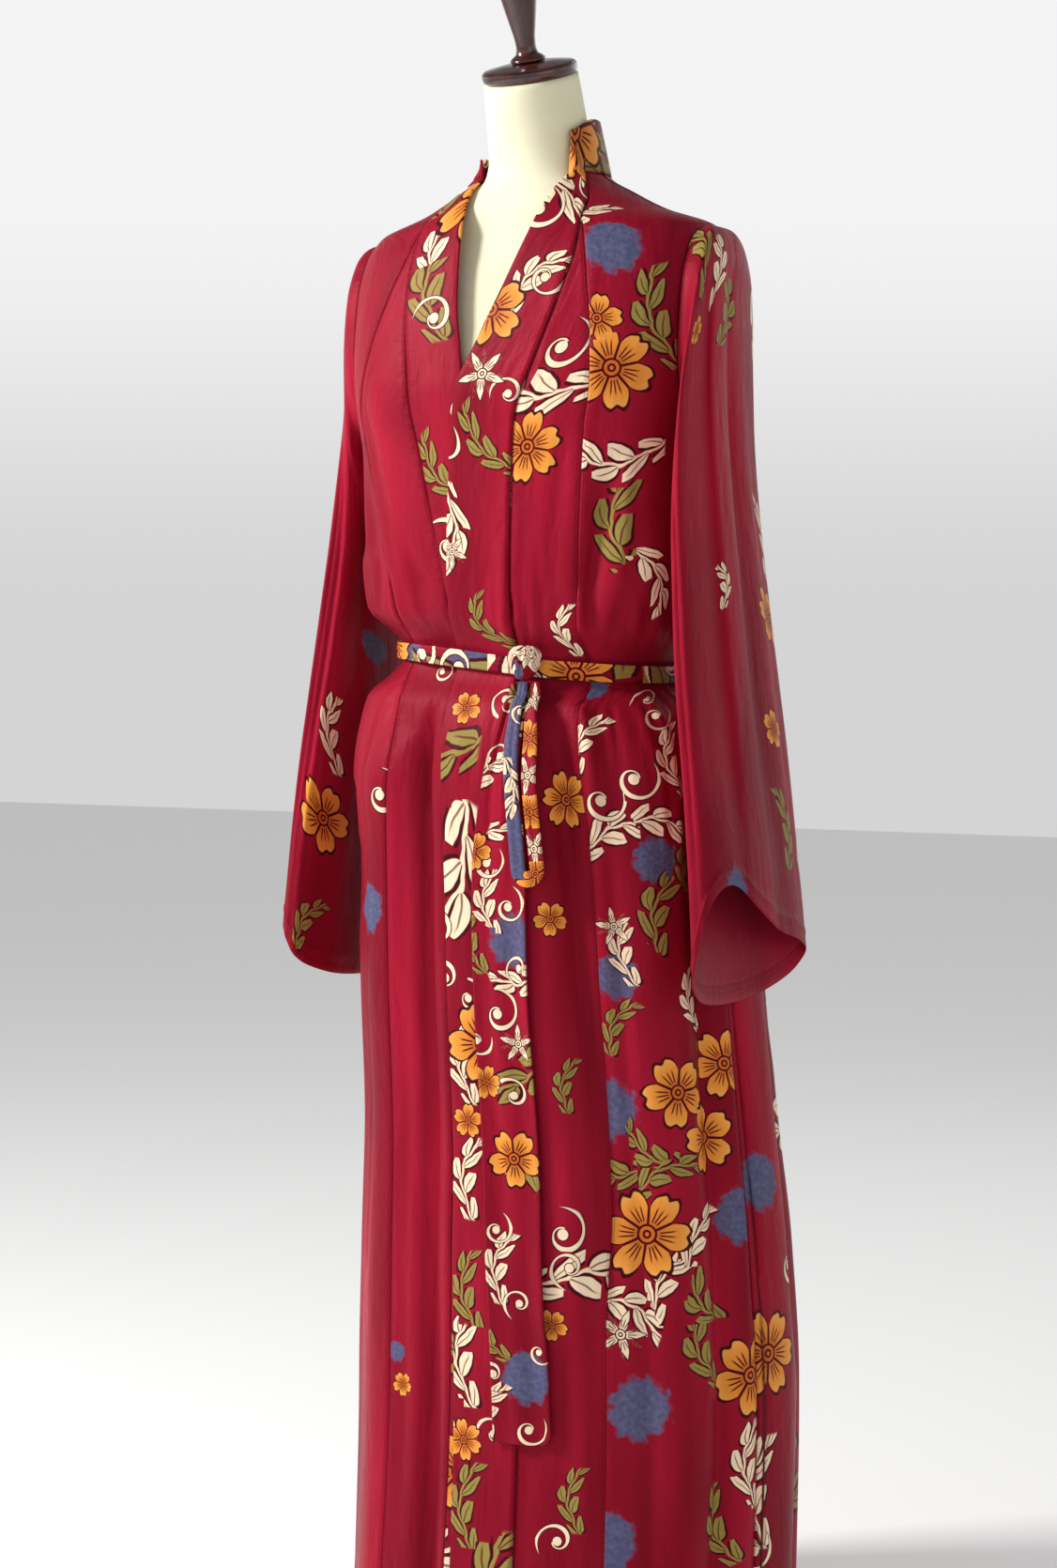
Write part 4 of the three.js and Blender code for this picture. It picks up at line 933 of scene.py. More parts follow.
FRONT_LEFT_PRINT = [
    ("flower", 0.25, 1.228, 0.043, 12, 1),
    ("flower", 0.091, 1.274, 0.026, 40, 0),
    ("patch", 0.295, 1.343, 0.034, 0, 1),
    ("spray", 0, 1.369, 0.041, 55, 0),
    ("spray", 0.205, 1.149, 0.051, 182, 0),
    ("spray", 0.273, 1.087, 0.059, 95, 1),
    ("spray", 0.432, 1.04, 0.041, 300, 0),
    ("spray", 0.795, 1.274, 0.051, 105, 1),
    ("patch", 0.045, 0.931, 0.016, 0, 0),
    ("curl", 0.545, 0.908, 0.02, 10, 0),
    ("curl", 0.545, 0.923, 0.018, 190, 1),
    ("spray", 0.045, 0.884, 0.034, 60, 0),
    ("curl", 0.114, 0.83, 0.027, 30, 0),
    ("spray", 0.205, 0.798, 0.044, 20, 0),
    ("spray", 0.455, 0.806, 0.041, 350, 0),
    ("flower", 0.136, 0.713, 0.02, 280, 4),
    ("patch", 0.432, 0.775, 0.026, 0, 0),
    ("spray", 0.455, 0.728, 0.044, 70, 1),
    ("patch", 0.136, 0.666, 0.026, 0, 1),
    ("patch", 0, 0.541, 0.035, 0, 0),
    ("flower", 0.477, 0.557, 0.037, 10, 0),
    ("flower", 0.909, 0.58, 0.036, 40, 1),
    ("flower", 0.727, 0.51, 0.036, 70, 0),
    ("spray", 0.023, 0.486, 0.041, 170, 1),
    ("spray", 0.295, 0.502, 0.037, 150, 1),
    ("flower", 0.227, 0.424, 0.046, 25, 1),
    ("flower", 0.091, 0.33, 0.026, 250, 4),
    ("spray", 0.614, 0.362, 0.046, 130, 1),
    ("spray", 0.591, 0.315, 0.044, 110, 1),
    ("spray", 0.568, 0.416, 0.041, 60, 0),
    ("patch", 0.205, 0.26, 0.036, 0, 0),
    ("patch", 0, 0.135, 0.036, 0, 1),
    ("spray", 0.75, 0.143, 0.044, 110, 1),
    ("spray", 0.1, 0.352, 0.044, 340, 0),
    ("spray", 0.36, 0.378, 0.042, 62, 0),
    ("spray", 0.34, 0.478, 0.04, 25, 1),
    ("patch", 0.93, 0.434, 0.032, 0, 1),
    ("flower", 0.93, 0.282, 0.042, 20, 0),
    ("spray", 0.93, 0.196, 0.044, 95, 0),
    ("spray", 0.6, 0.866, 0.038, 105, 0),
    ("curl", 0.33, 0.85, 0.026, 20, 0),
    ("spray", 0.7, 0.77, 0.036, 75, 1),
    ("spray", 0.2, 0.69, 0.034, 95, 0),
    ("spray", 0.12, 0.62, 0.03, 60, 1),
    ("spray", 0.66, 0.64, 0.032, 110, 0),
]
FRONT_RIGHT_PRINT = [
    ("curl", 0.955, 0.83, 0.027, 70, 0),
    ("patch", 0.795, 0.72, 0.03, 0, 1),
]
OVERLAP_PRINT = {
    1: [
        ("flower", 0.25, 1.157, 0.036, 50, 1),
        ("spray", 0.25, 1.215, 0.061, 170, 0),
        ("curl", 0.5, 1.248, 0.03, 60, 0),
        ("spray", 0.833, 0.986, 0.027, 90, 0),
        ("flower", 0.833, 0.83, 0.03, 20, 1),
        ("flower", 0.5, 0.72, 0.018, 15, 0),
        ("spray", 0.583, 0.564, 0.027, 80, 1),
        ("curl", 0.5, 0.424, 0.027, 80, 0),
        ("spray", 0.833, 0.377, 0.063, 355, 0),
        ("curl", 0.583, 0.393, 0.022, 240, 1),
        ("flower", 0.417, 0.338, 0.017, 15, 0),
        ("spray", 0.667, 0.174, 0.032, 90, 1),
        ("curl", 0.5, 0.135, 0.022, 200, 0),
    ],
    -1: [
        ("curl", 0.583, 0.947, 0.015, 60, 0),
        ("patch", 0.083, 0.291, 0.012, 0, 1),
        ("flower", 0.167, 0.26, 0.013, 20, 0),
    ],
}

overlap_rows = ROWS[ROWS <= ARMHOLE_TOP_Z + 0.0001]
for side, label, band_profile, drop in ((1, "left", LEFT_BAND, None), (-1, "right", RIGHT_BAND, layer_drop)):
    seam_x = band_profile.at("seam", ROWS)
    width = np.where(ROWS > ARMHOLE_TOP_Z, 0, OVERLAP_WIDTHS.at("width", ROWS))
    band_seam = front_angle(side * seam_x, ROWS)
    overlap_seam = front_angle(side * (seam_x + width), ROWS)
    side_end = side * panel_end(ROWS, "front")
    ends = (overlap_seam, side_end) if side > 0 else (side_end, overlap_seam)
    inner = [seam[: len(overlap_rows)] for seam in (band_seam, overlap_seam)]
    front_print = FRONT_LEFT_PRINT if side > 0 else FRONT_RIGHT_PRINT
    front = body_panel(
        f"front_panel_{label}", ROWS, *ends, 44, front_print, drop,
        tucks=(0, 1) if side > 0 else (1, 0), neck=True,
    )
    finish_cloth(front, [f"front_{label}"])
    overlap = body_panel(
        f"overlap_panel_{label}", overlap_rows, *(inner if side > 0 else inner[::-1]), 12,
        OVERLAP_PRINT[side], drop, tucks=(1, 1),
    )
    finish_cloth(
        overlap, [f"overlap_{label}"]
    )


# ----------------------------------------------------------------------------------- collar band
# A double strip of satin, folded along its free edge, that runs from the hem up each front edge and
# stands round the neck. Its two halves are joined at the nape.

FOLDED = 0.0008  # the cloth of a folded strip
BAND_LAYER = 0.0010  # from the band's middle to the middle of each of its two layers
COLLAR_STAND = {"left": 0.052, "nape": 0.040, "right": 0.020}
LEAN_X, LEAN_Y = 0.15, 0.28  # how far the collar leans in towards the neck at its full height
UNDER_NECK = NECK_Z - 0.002


def no_drop(degrees, z):
    """The left front lies on top, so nothing drops there."""
    return 0.0 * z


def neck_ring(degrees, lift):
    """Points round the neck, this far up the collar."""
    base = robe_points(degrees, np.full(np.shape(degrees), NECK_Z))
    lean = lift / COLLAR_STAND["left"]
    x, y = base[..., 0] * (1 - LEAN_X * lean), base[..., 1] * (1 - LEAN_Y * lean)
    return np.stack([x, y, NECK_Z + lift], -1)


def band_surface(side, profile, drop, share):
    """The band's middle surface: rows up the front edge, then round the neck to the nape."""
    seam_angle = front_angle(side * profile.at("seam", ROWS), ROWS)
    seam = robe_points(seam_angle, ROWS, drop(seam_angle, ROWS))
    edge_z = profile.at("edge_z", ROWS)
    lying_z = np.minimum(edge_z, UNDER_NECK)
    edge_angle = front_angle(side * profile.at("edge", ROWS), lying_z)
    free = robe_points(edge_angle, lying_z, drop(edge_angle, lying_z))
    free[:, 2] = edge_z
    lying = seam[:, None] + (free - seam)[:, None] * share[None, :, None]
    level = np.minimum(lying[..., 2], UNDER_NECK)
    angle = front_angle(lying[..., 0], level)
    on_body = robe_points(angle, level, drop(angle, level))
    standing = smoothstep(ROWS, ARMHOLE_TOP_Z, NECK_Z)[:, None, None]
    blend = np.where(lying[..., 2:] < UNDER_NECK, 1 - standing, 0)
    lying = lying + (on_body - lying) * blend
    t = np.linspace(0, 1, 40)[1:]
    rise = free[-1, 2] - NECK_Z
    first = side * seam_angle[-1]
    degrees = side * (first + (180 - first) * t)
    at_side = rise + (COLLAR_STAND["left" if side > 0 else "right"] - rise) * smoothstep(t, 0, 0.35)
    lift = at_side + (COLLAR_STAND["nape"] - at_side) * smoothstep(t, 0.35, 1)
    free_round = neck_ring(degrees, lift)
    stay = ((1 - t) ** 4 * (1 - smoothstep(t, 0.25, 0.45)))[:, None]
    from_front = np.stack([np.full(len(t), free[-1, 0]), np.full(len(t), free[-1, 1]), NECK_Z + lift], -1)
    free_round = free_round + (from_front - free_round) * stay
    seam_round = neck_ring(degrees, np.full(len(t), 0.0002))
    standing_part = seam_round[:, None] + (free_round - seam_round)[:, None] * share[None, :, None]
    return np.concatenate([lying, standing_part])


def grid_normals(points):
    """Unit normals of a grid of points, from its neighbours on both sides."""
    across = np.gradient(points, axis=1)
    up = np.gradient(points, axis=0)
    normal = np.cross(across, up)
    return normal / np.maximum(np.linalg.norm(normal, axis=-1, keepdims=True), 1e-12)


def folded_band(side, label, profile, drop, print_rows):
    """Both layers of one half of the band, with the turn between them along the free edge."""
    share = np.linspace(0, 1, 13)
    middle = band_surface(side, profile, drop, share)
    normal = grid_normals(middle) * -side
    seam_edge = np.exp(-((share / 0.05) ** 2))[None, :, None] * 0.0004
    outer = middle + normal * (BAND_LAYER - seam_edge)
    inner = middle - normal * (BAND_LAYER - seam_edge)
    outward = middle[:, -1] - middle[:, -2]
    outward = outward / np.linalg.norm(outward, axis=-1, keepdims=True)
    turn_over = [
        middle[:, -1] + (normal[:, -1] * math.cos(a) + outward * math.sin(a)) * BAND_LAYER
        for a in np.radians([30, 60, 90, 120, 150])
    ]
    sides = [outer, np.stack(turn_over, 1), inner[:, ::-1]]
    points = np.concatenate(sides if side < 0 else [part[:, ::-1] for part in sides[::-1]], 1)
    uv = flat_cloth(points)
    down = np.concatenate([ROWS, np.linspace(NECK_Z, NECK_Z + 0.21, len(points) - len(ROWS) + 1)[1:]])
    across = np.linspace(0, 1, points.shape[1])
    inward = np.minimum(uv[..., 0], uv[:, -1:, 0] - uv[..., 0])
    edge = np.stack([inward, uv[..., 1]], -1)
    motifs = lay_out(print_rows, uv, across, down)
    return bpy.data.objects.new(
        f"neck_band_{label}", grid_mesh(f"neck_band_{label}", points, uv, edge, motifs)
    )


BAND_PRINT = {
    1: [
        ("flower", 0.733, 1.208, 0.027, 40, 4),
        ("curl", 0.867, 1.306, 0.022, 20, 1),
        ("spray", 0.8, 1.3, 0.041, 70, 0),
        ("curl", 0.933, 1.202, 0.02, 200, 0),
        ("spray", 0.833, 1.15, 0.041, 150, 1),
        ("spray", 0.6, 1.071, 0.049, 265, 0),
        ("flower", 0.633, 1.056, 0.018, 90, 4),
        ("spray", 0.833, 0.993, 0.032, 120, 1),
        ("flower", 0.733, 0.915, 0.018, 10, 0),
        ("curl", 0.733, 0.642, 0.02, 100, 0),
        ("spray", 0.7, 0.58, 0.041, 90, 0),
        ("spray", 0.7, 0.362, 0.041, 95, 1),
        ("spray", 0.7, 0.471, 0.041, 85, 0),
        ("flower", 0.7, 0.525, 0.018, 50, 0),
        ("spray", 0.667, 0.299, 0.049, 92, 0),
        ("flower", 0.667, 0.221, 0.022, 10, 1),
        ("spray", 0.7, 0.159, 0.044, 88, 1),
        ("curl", 0.933, 0.44, 0.027, 40, 0),
    ],
    -1: [
        ("spray", 0.233, 1.306, 0.063, 88, 1),
        ("curl", 0.233, 1.274, 0.027, 150, 0),
        ("spray", 0.233, 1.34, 0.049, 80, 0),
        ("spray", 0.133, 1.134, 0.041, 120, 1),
    ],
}
BAND_COUNTS = {"spray": 24, "curl": 18, "flower": 5}
for side, rows in BAND_PRINT.items():
    rows += scatter(11 + side, BAND_COUNTS, (0, 1), (0.05, 1.62), rows, 0.14, scale=1.2)

for side, label, profile, drop in (
    (1, "left", LEFT_BAND, no_drop),
    (-1, "right", RIGHT_BAND, layer_drop),
):
    band = folded_band(side, label, profile, drop, BAND_PRINT[side])
    finish_cloth(
        band, [f"collar_band_{label}"], FOLDED
    )


# --------------------------------------------------------------------------------------- sleeves
# Each sleeve is one wide piece set in at the dropped shoulder. It hangs in deep folds and widens to
# an open cuff, whose front is lifted on the wearer's left.

SLEEVE_RINGS = Profile(
    ("ring", "out_x", "out_z", "in_x", "in_z", "depth"),
    (0, 0.1777, 1.366, 0.1777, 1.150, 0.066),
    (1, 0.190, 1.361, 0.181, 1.141, 0.067),
    (2, 0.198, 1.350, 0.183, 1.128, 0.068),
    (3, 0.202, 1.330, 0.184, 1.112, 0.070),
    (4, 0.204, 1.296, 0.1845, 1.088, 0.072),
    (5, 0.206, 1.246, 0.185, 1.056, 0.075),
    (6, 0.210, 1.186, 0.186, 1.016, 0.079),
    (7, 0.216, 1.116, 0.188, 0.970, 0.083),
    (8, 0.224, 1.040, 0.191, 0.920, 0.088),
    (9, 0.232, 0.962, 0.198, 0.866, 0.093),
    (10, 0.241, 0.886, 0.205, 0.808, 0.097),
    (11, 0.249, 0.814, 0.210, 0.748, 0.101),
    (12, 0.256, 0.752, 0.213, 0.692, 0.104),
    (13, 0.260, 0.704, 0.216, 0.640, 0.107),
)
# Degrees round the ring (0 is outwards, 90 the front), half width, rise, and where it runs.
SLEEVE_FOLDS = {
    "left": [
        (34, 13, -0.015, 0.16, 0.97), (66, 14, 0.005, 0.2, 0.9), (338, 13, -0.010, 0.3, 0.95),
        (292, 15, 0.006, 0.2, 0.9), (128, 14, -0.008, 0.25, 0.8), (226, 14, -0.009, 0.25, 0.85),
        (52, 5, -0.0025, 0.30, 0.95), (18, 5, 0.0022, 0.25, 0.90), (84, 6, -0.0028, 0.35, 0.97),
        (350, 5, -0.0024, 0.15, 0.75), (310, 6, -0.0026, 0.35, 0.95), (100, 5, 0.0020, 0.5, 0.95),
    ],
    "right": [
        (22, 13, -0.010, 0.22, 0.8), (58, 14, 0.006, 0.3, 0.95), (90, 12, -0.007, 0.35, 0.9),
        (318, 14, -0.012, 0.2, 0.95), (134, 14, -0.008, 0.25, 0.8), (232, 14, -0.008, 0.25, 0.85),
        (40, 5, -0.0026, 0.30, 0.95), (8, 6, 0.0024, 0.25, 0.90), (74, 5, -0.0022, 0.35, 0.97),
        (338, 5, -0.0026, 0.35, 0.95), (298, 6, 0.0024, 0.2, 0.8), (110, 5, -0.0022, 0.4, 0.95),
    ],
}


LAST_RING = 13
SLEEVE_LENGTH = 0.6  # from the armhole to the cuff, for the hem's and the seam's distances
CUFF_LINE, CUFF_STITCHES = 0.0125, 0.0155  # in from the cuff: the sewn edge and its stitches


def sleeve_points(side, forward, swing, lift, folds, degrees, along):
    """Points round and along a sleeve. It comes forward and swings out by these distances, and
    lift raises the front of its cuff."""
    ring = along * LAST_RING
    out_x, out_z, in_x, in_z, depth = (
        SLEEVE_RINGS.at(name, ring) for name in ("out_x", "out_z", "in_x", "in_z", "depth")
    )
    turn = np.radians(degrees)
    middle_x, middle_z = (out_x + in_x) / 2, (out_z + in_z) / 2
    x = middle_x + (out_x - in_x) / 2 * np.cos(turn)
    z = middle_z + (out_z - in_z) / 2 * np.cos(turn)
    level = np.clip(z, UNDERARM_Z, ARMHOLE_TOP_Z)
    cut = np.where(np.sin(turn) > 0, armhole_depth(level, "front"), armhole_depth(level, "back"))
    armhole = 1 - smoothstep(along, 0, 0.3)
    y = -(cut * np.sign(np.sin(turn)) * armhole + np.sin(turn) * depth * (1 - armhole))
    y = y - forward * smoothstep(along, 0, 0.5)
    rise = np.zeros(x.shape)
    for at, half, height, start, end in folds:
        away = np.abs((degrees - at + 180) % 360 - 180)
        ends = smoothstep(along, start, start + 0.2) * (1 - 0.6 * smoothstep(along, end - 0.2, end))
        rise += height * np.exp(-((away / half) ** 2)) * ends
    away_x, away_y = x - middle_x, y + forward * along
    length = np.maximum(np.hypot(away_x, away_y), 1e-6)
    x, y = x + rise * away_x / length, y + rise * away_y / length
    front_lift = np.exp(-((((degrees - 48 + 180) % 360 - 180) / 40) ** 2)) * smoothstep(along, 0.72, 1)
    z = z + lift * front_lift
    x = x + swing * smoothstep(along, 0, 0.9)
    return np.stack([x * side, y, z], -1)


SLEEVE_PRINT = {
    "left": [
        ("spray", 0.6, 0.068, 0.049, 80, 1),
        ("spray", 0.533, 0.243, 0.037, 95, 0),
        ("flower", 0.633, 0.308, 0.014, 20, 0),
        ("spray", 0.492, 0.327, 0.037, 100, 1),
        ("spray", 0.333, 0.549, 0.039, 80, 0),
        ("flower", 0.35, 0.632, 0.03, 20, 1),
        ("spray", 0.55, 0.623, 0.022, 90, 0),
        ("spray", 0.4, 0.854, 0.037, 80, 1),
        ("patch", 0.6, 1, 0.022, 0, 0),
        ("flower", 0.4, 0.752, 0.02, 60, 0),
    ],
    "right": [
        ("spray", 0.842, 0.697, 0.046, 100, 0),
        ("flower", 0.85, 0.798, 0.042, 35, 0),
        ("spray", 0.833, 0.937, 0.032, 60, 1),
        ("patch", 0.942, 0.549, 0.026, 0, 0),
    ],
}
SLEEVE_COUNTS = {"flower": 2, "spray": 6, "curl": 4, "patch": 2}
for seed, rows in enumerate(SLEEVE_PRINT.values()):
    rows += scatter(21 + seed, SLEEVE_COUNTS, (0.03, 0.34), (0.15, 0.93), rows, 0.45, SLEEVE_LENGTH)
near_cuff = [0.972, 0.9745, 0.977, 0.984, 0.992, 1]
sleeve_along = np.concatenate([[0, 0.004], np.linspace(0.012, 0.965, 104), near_cuff])
sleeve_round = np.linspace(180, 540, 121)
for side, label, forward, swing, lift in (
    (1, "left", 0.034, 0, 0.062),
    (-1, "right", -0.034, 0.016, 0.012),
):
    degrees, along = np.meshgrid(sleeve_round, sleeve_along)
    points = sleeve_points(side, forward, swing, lift, SLEEVE_FOLDS[label], degrees % 360, along)
    uv = flat_cloth(points, 60)
    uv[..., 1] *= -1
    hem = (sleeve_along[-1] - sleeve_along)[:, None] * SLEEVE_LENGTH
    from_arm = sleeve_along[:, None] * SLEEVE_LENGTH
    inward = np.minimum(np.abs(hem - CUFF_LINE), from_arm) + 0 * degrees
    edge = np.stack([inward, uv[..., 0]], -1)
    share = (sleeve_round - 180) / 360
    motifs = lay_out(SLEEVE_PRINT[label], uv, share, sleeve_along)
    normal = grid_normals(points) * -side
    stitched = 0.0008 * np.exp(-(((hem - CUFF_STITCHES) / 0.0018) ** 2))
    points = points - normal * stitched[..., None]
    points[:, -1] = points[:, 0]
    points, uv, edge = (grid[::-1, ::-side] for grid in (points, uv, edge))
    name = f"satin_sleeve_{label}"
    sleeve = bpy.data.objects.new(name, grid_mesh(name, points, uv, edge, motifs, True))
    finish_cloth(
        sleeve, [f"sleeve_{label}"],
    )


# ------------------------------------------------------------------------------------- sash belt
# The sash is a narrow strip of the same satin, folded lengthwise. This part of it goes once round
# the waist over the gathers, creased along its length by the tying.

BELT_INNER = 0.0042  # how far out its inner face lies, clear of the band and the gathers
BELT_THICK = 0.0034
BELT_HEIGHT = 0.017


def belt_height(degrees):
    return BELT_Z - BELT_TILT * np.sin(np.radians(degrees))


def flat_section(turn, half_across, half_thick):
    """A flattened roll of cloth in section: how far across and how far out at each turn."""
    across = np.sign(np.sin(turn)) * np.abs(np.sin(turn)) ** 0.85 * half_across
    out = np.sign(np.cos(turn)) * np.abs(np.cos(turn)) ** 0.5 * half_thick
    return across, out


def groove(across, at, half, depth):
    """A soft crease along a strip, this deep, at this place across it."""
    return -depth * np.exp(-(((across - at) / half) ** 2))


def sash_piece(name, points, print_seed, print_counts, print_rows=(), closed=False, hems=False, scale=0.8):
    """A part of the sash with its listed and strewn print, and hems down both sides if it has them."""
    uv = flat_cloth(points)
    share = np.linspace(0, 1, points.shape[1])
    down = np.linspace(0, 1, len(points))
    width, length = uv[len(points) // 2, -1, 0], uv[-1, 0, 1]
    inward = np.minimum(uv[..., 0], uv[:, -1:, 0] - uv[..., 0])
    edge = np.stack([inward if hems else inward + 0.05, uv[..., 1]], -1)
    placed = list(print_rows) + scatter(
        print_seed, print_counts, (0, 1), (0, 1), print_rows, width, length, scale
    )
    motifs = lay_out(placed, uv, share, down)
    return bpy.data.objects.new(name, grid_mesh(name, points, uv, edge, motifs, closed))


turn, degrees = np.meshgrid(np.radians(np.linspace(176, -176, 37)), np.linspace(0, 360, 401))
sway = np.radians(degrees)
half_height = (BELT_HEIGHT - FOLDED) / 2 * (1 - 0.06 * (1 + np.sin(5 * sway + 1)) / 2)
up, out = flat_section(turn, half_height, (BELT_THICK - FOLDED) / 2)
outer_face = np.cos(turn) > 0
creases = (
    groove(up, 0.0022 * np.sin(2 * sway + 0.6), 0.0010, 0.0009)
    + groove(up, 0.0050 + 0.0012 * np.sin(3 * sway), 0.0007, 0.0006)
    + groove(up, -0.0046 + 0.0016 * np.sin(4 * sway + 2), 0.0008, 0.0007)
)
middle = BELT_INNER + BELT_THICK / 2
belt_points = robe_points(degrees, belt_height(degrees), middle + out + creases * outer_face)
belt_points[..., 2] += up
belt_points[-1] = belt_points[0]
belt_counts = {"flower": 5, "spray": 20, "curl": 12, "patch": 9}
belt = sash_piece("belt", belt_points, 31, belt_counts, closed=True, scale=1.3)
finish_cloth(belt, ["sash_belt"], FOLDED)


# ------------------------------------------------------------------------------------- sash knot
# The sash is tied in half a bow in front, a little to the wearer's left. The knot is wrapped from
# above to below, and its pleats are drawn in at both ends.

KNOT_X = 0.044
KNOT_DEPTH = 0.009
KNOT_DEGREES = 20  # the angle at which its height is read off the tilted belt

turn, swell = np.meshgrid(np.radians(np.linspace(180, -180, 65)), np.radians(np.linspace(-90, 90, 41)))
side_x, up_z = np.sin(swell), np.cos(swell) * np.sin(turn)
bulge = 1 + 0.1 * np.sin(3 * np.arctan2(up_z, side_x + 1e-9))
knot_x = KNOT_X + 0.0155 * side_x * bulge
knot_z = belt_height(KNOT_DEGREES) + 0.005 + 0.0165 * up_z * bulge
# Degrees along the knot, half width, depth as a share of the knot's, and lean.
KNOT_PLEATS = ((-38, 7, 0.10, 0.4), (-6, 6, 0.16, 1.2), (24, 7, 0.10, 2.0), (52, 6, 0.08, 0.9))
pleats = sum(
    groove(np.degrees(swell), at + 9 * np.sin(turn + lean), half, depth)
    for at, half, depth, lean in KNOT_PLEATS
)
belt_z = np.full(knot_x.shape, BELT_Z)
knot_base = robe_points(front_angle(knot_x, belt_z), belt_z, BELT_INNER + BELT_THICK)[..., 1]
knot_bulge = (KNOT_DEPTH - 0.0005) * np.cos(swell) * np.cos(turn) * (1 + pleats)
knot_y = knot_base - KNOT_DEPTH - 0.0008 - knot_bulge
knot_points = np.stack([knot_x, knot_y, knot_z + pleats * 0.004 * up_z], -1)
knot_points[:, -1] = knot_points[:, 0]
knot_print = [("flower", 0.42, 0.66, 0.017, 20, 4), ("patch", 0.62, 0.35, 0.012, 0, 0)]
knot = sash_piece("knot", knot_points, 33, {"spray": 2}, knot_print, closed=True)
finish_cloth(knot, ["sash_knot"], FOLDED)


# ------------------------------------------------------------------------------------- sash loop
# The bow's loop is the same folded strip. It goes down from the knot, turns and comes up beside
# itself, and is held by the knot alone.

LOOP_END_Z = 0.757
LEG_GAP = 0.0095  # from the loop's middle line to that of each of its legs


def before(x, z, out):
    """A point that hangs before the sash or the skirt. Near the sash it keeps to the fuller skirt
    just below, so that it doesn't follow the cloth in under the knot."""
    below = BELT_Z - 0.03
    surface_z = np.where(z > below, below + (z - below) * 0.3, z)
    smooth = robe_points(front_angle(x, surface_z), surface_z, 0, DEEP_FOLDS)[..., 1]
    belt_z = np.full(np.shape(x), BELT_Z)
    on_belt = robe_points(front_angle(x, belt_z), belt_z, BELT_INNER + BELT_THICK)[..., 1]
    return np.stack([x, np.minimum(smooth, on_belt + 0.0015) - out, z], -1)


leg = np.linspace(0, 1, 46)
bend = np.linspace(0, math.pi, 27)[1:-1]
across_leg = np.concatenate([np.full(len(leg), -1.0), -np.cos(bend), np.full(len(leg), 1.0)])
down_leg = np.concatenate([leg, np.ones(len(bend)), leg[::-1]])
sag = np.concatenate([0 * leg, np.sin(bend) * LEG_GAP, 0 * leg])
loop_top = belt_height(KNOT_DEGREES) - 0.014
pinch = 0.62 + 0.38 * np.minimum(1, down_leg * 3)
path_x = KNOT_X + 0.006 + 0.013 * down_leg + across_leg * LEG_GAP * pinch
path_z = loop_top + (LOOP_END_Z + LEG_GAP - loop_top) * down_leg - sag
path = before(path_x, path_z, 0.0122 - 0.0011 * down_leg)
along = np.gradient(path, axis=0)
along /= np.linalg.norm(along, axis=1, keepdims=True)
across = np.cross(np.array([0, -1.0, 0]), along)
across /= np.linalg.norm(across, axis=1, keepdims=True)
outward = np.cross(along, across)
turn = np.radians(np.linspace(176, -176, 33))
wide, out = flat_section(turn[None, :], (0.0074 * pinch - FOLDED / 2)[:, None], (0.0042 - FOLDED) / 2)
rows_along = np.linspace(0, 1, len(path))[:, None]
out = out + (np.cos(turn) > 0) * (
    groove(wide, 0.0014 * np.sin(9 * rows_along), 0.0009, 0.0013)
    + groove(wide, 0.0040 - 0.002 * np.sin(7 * rows_along), 0.0008, 0.0008)
)
loop_points = path[:, None] + across[:, None] * wide[..., None] + outward[:, None] * out[..., None]
loop_print = [("patch", 0.5, down, 0.024, 0, 0) for down in np.linspace(0.02, 0.46, 7)]
loop_print += [("spray", 0.5, 0.22, 0.030, 90, 0)]
loop_print += [
    ("flower", 0.5, down, 0.021, 360 * down, 1 + 3 * (i % 2))
    for i, down in enumerate(np.linspace(0.58, 0.96, 6))
]
loop = sash_piece("loop", loop_points, 35, {"curl": 2}, loop_print)
finish_cloth(loop, ["sash_loop"], FOLDED)


# ------------------------------------------------------------------------------------- sash tail
# The sash's long end hangs flat from the knot down the robe's front edge. It is gathered at its top
# and hemmed down both sides.

TAIL_WIDTH = 0.058
TAIL_TOP_Z = 0.9385
TAIL_END_Z = 0.224
TAIL_HEM = 0.006  # how far in from its long edges the tail's stitches run

TAIL_LINE = Profile(
    ("z", "x"), (TAIL_END_Z, 0.048), (0.450, 0.038), (0.690, 0.030), (0.850, 0.034), (TAIL_TOP_Z, 0.042)
)
share = spread(16, TAIL_WIDTH)
row = np.concatenate([[0, 0.002, 0.009, 0.0105, 0.013], np.linspace(0.02, 1, 130)])
z = TAIL_END_Z + (TAIL_TOP_Z - TAIL_END_Z) * row[:, None] + 0 * share[None, :]
width = TAIL_WIDTH * (0.42 + 0.58 * smoothstep(TAIL_TOP_Z - z, 0, 0.190))
gather = 1 - smoothstep(TAIL_TOP_Z - z, 0, 0.230)
x = TAIL_LINE.at("x", z) + (share - 0.5) * width
ripple = 0.0011 * np.cos(4 * math.pi * share) + gather * 0.0013 * np.sin(share * 31 + 4 * z)
ripple = ripple + 0.0009 * np.sin(share * 9 + z * 17) * (1 - gather)
corner = 0.010 * smoothstep(share, 0.86, 1) ** 2 * (1 - smoothstep(row, 0, 0.05))[:, None]
tail_points = before(x, z + corner, 0.0062 + ripple)
for from_edge in (share * width, (1 - share) * width):
    tail_points[..., 1] += 0.0007 * np.exp(-(((from_edge - TAIL_HEM) / 0.0016) ** 2))
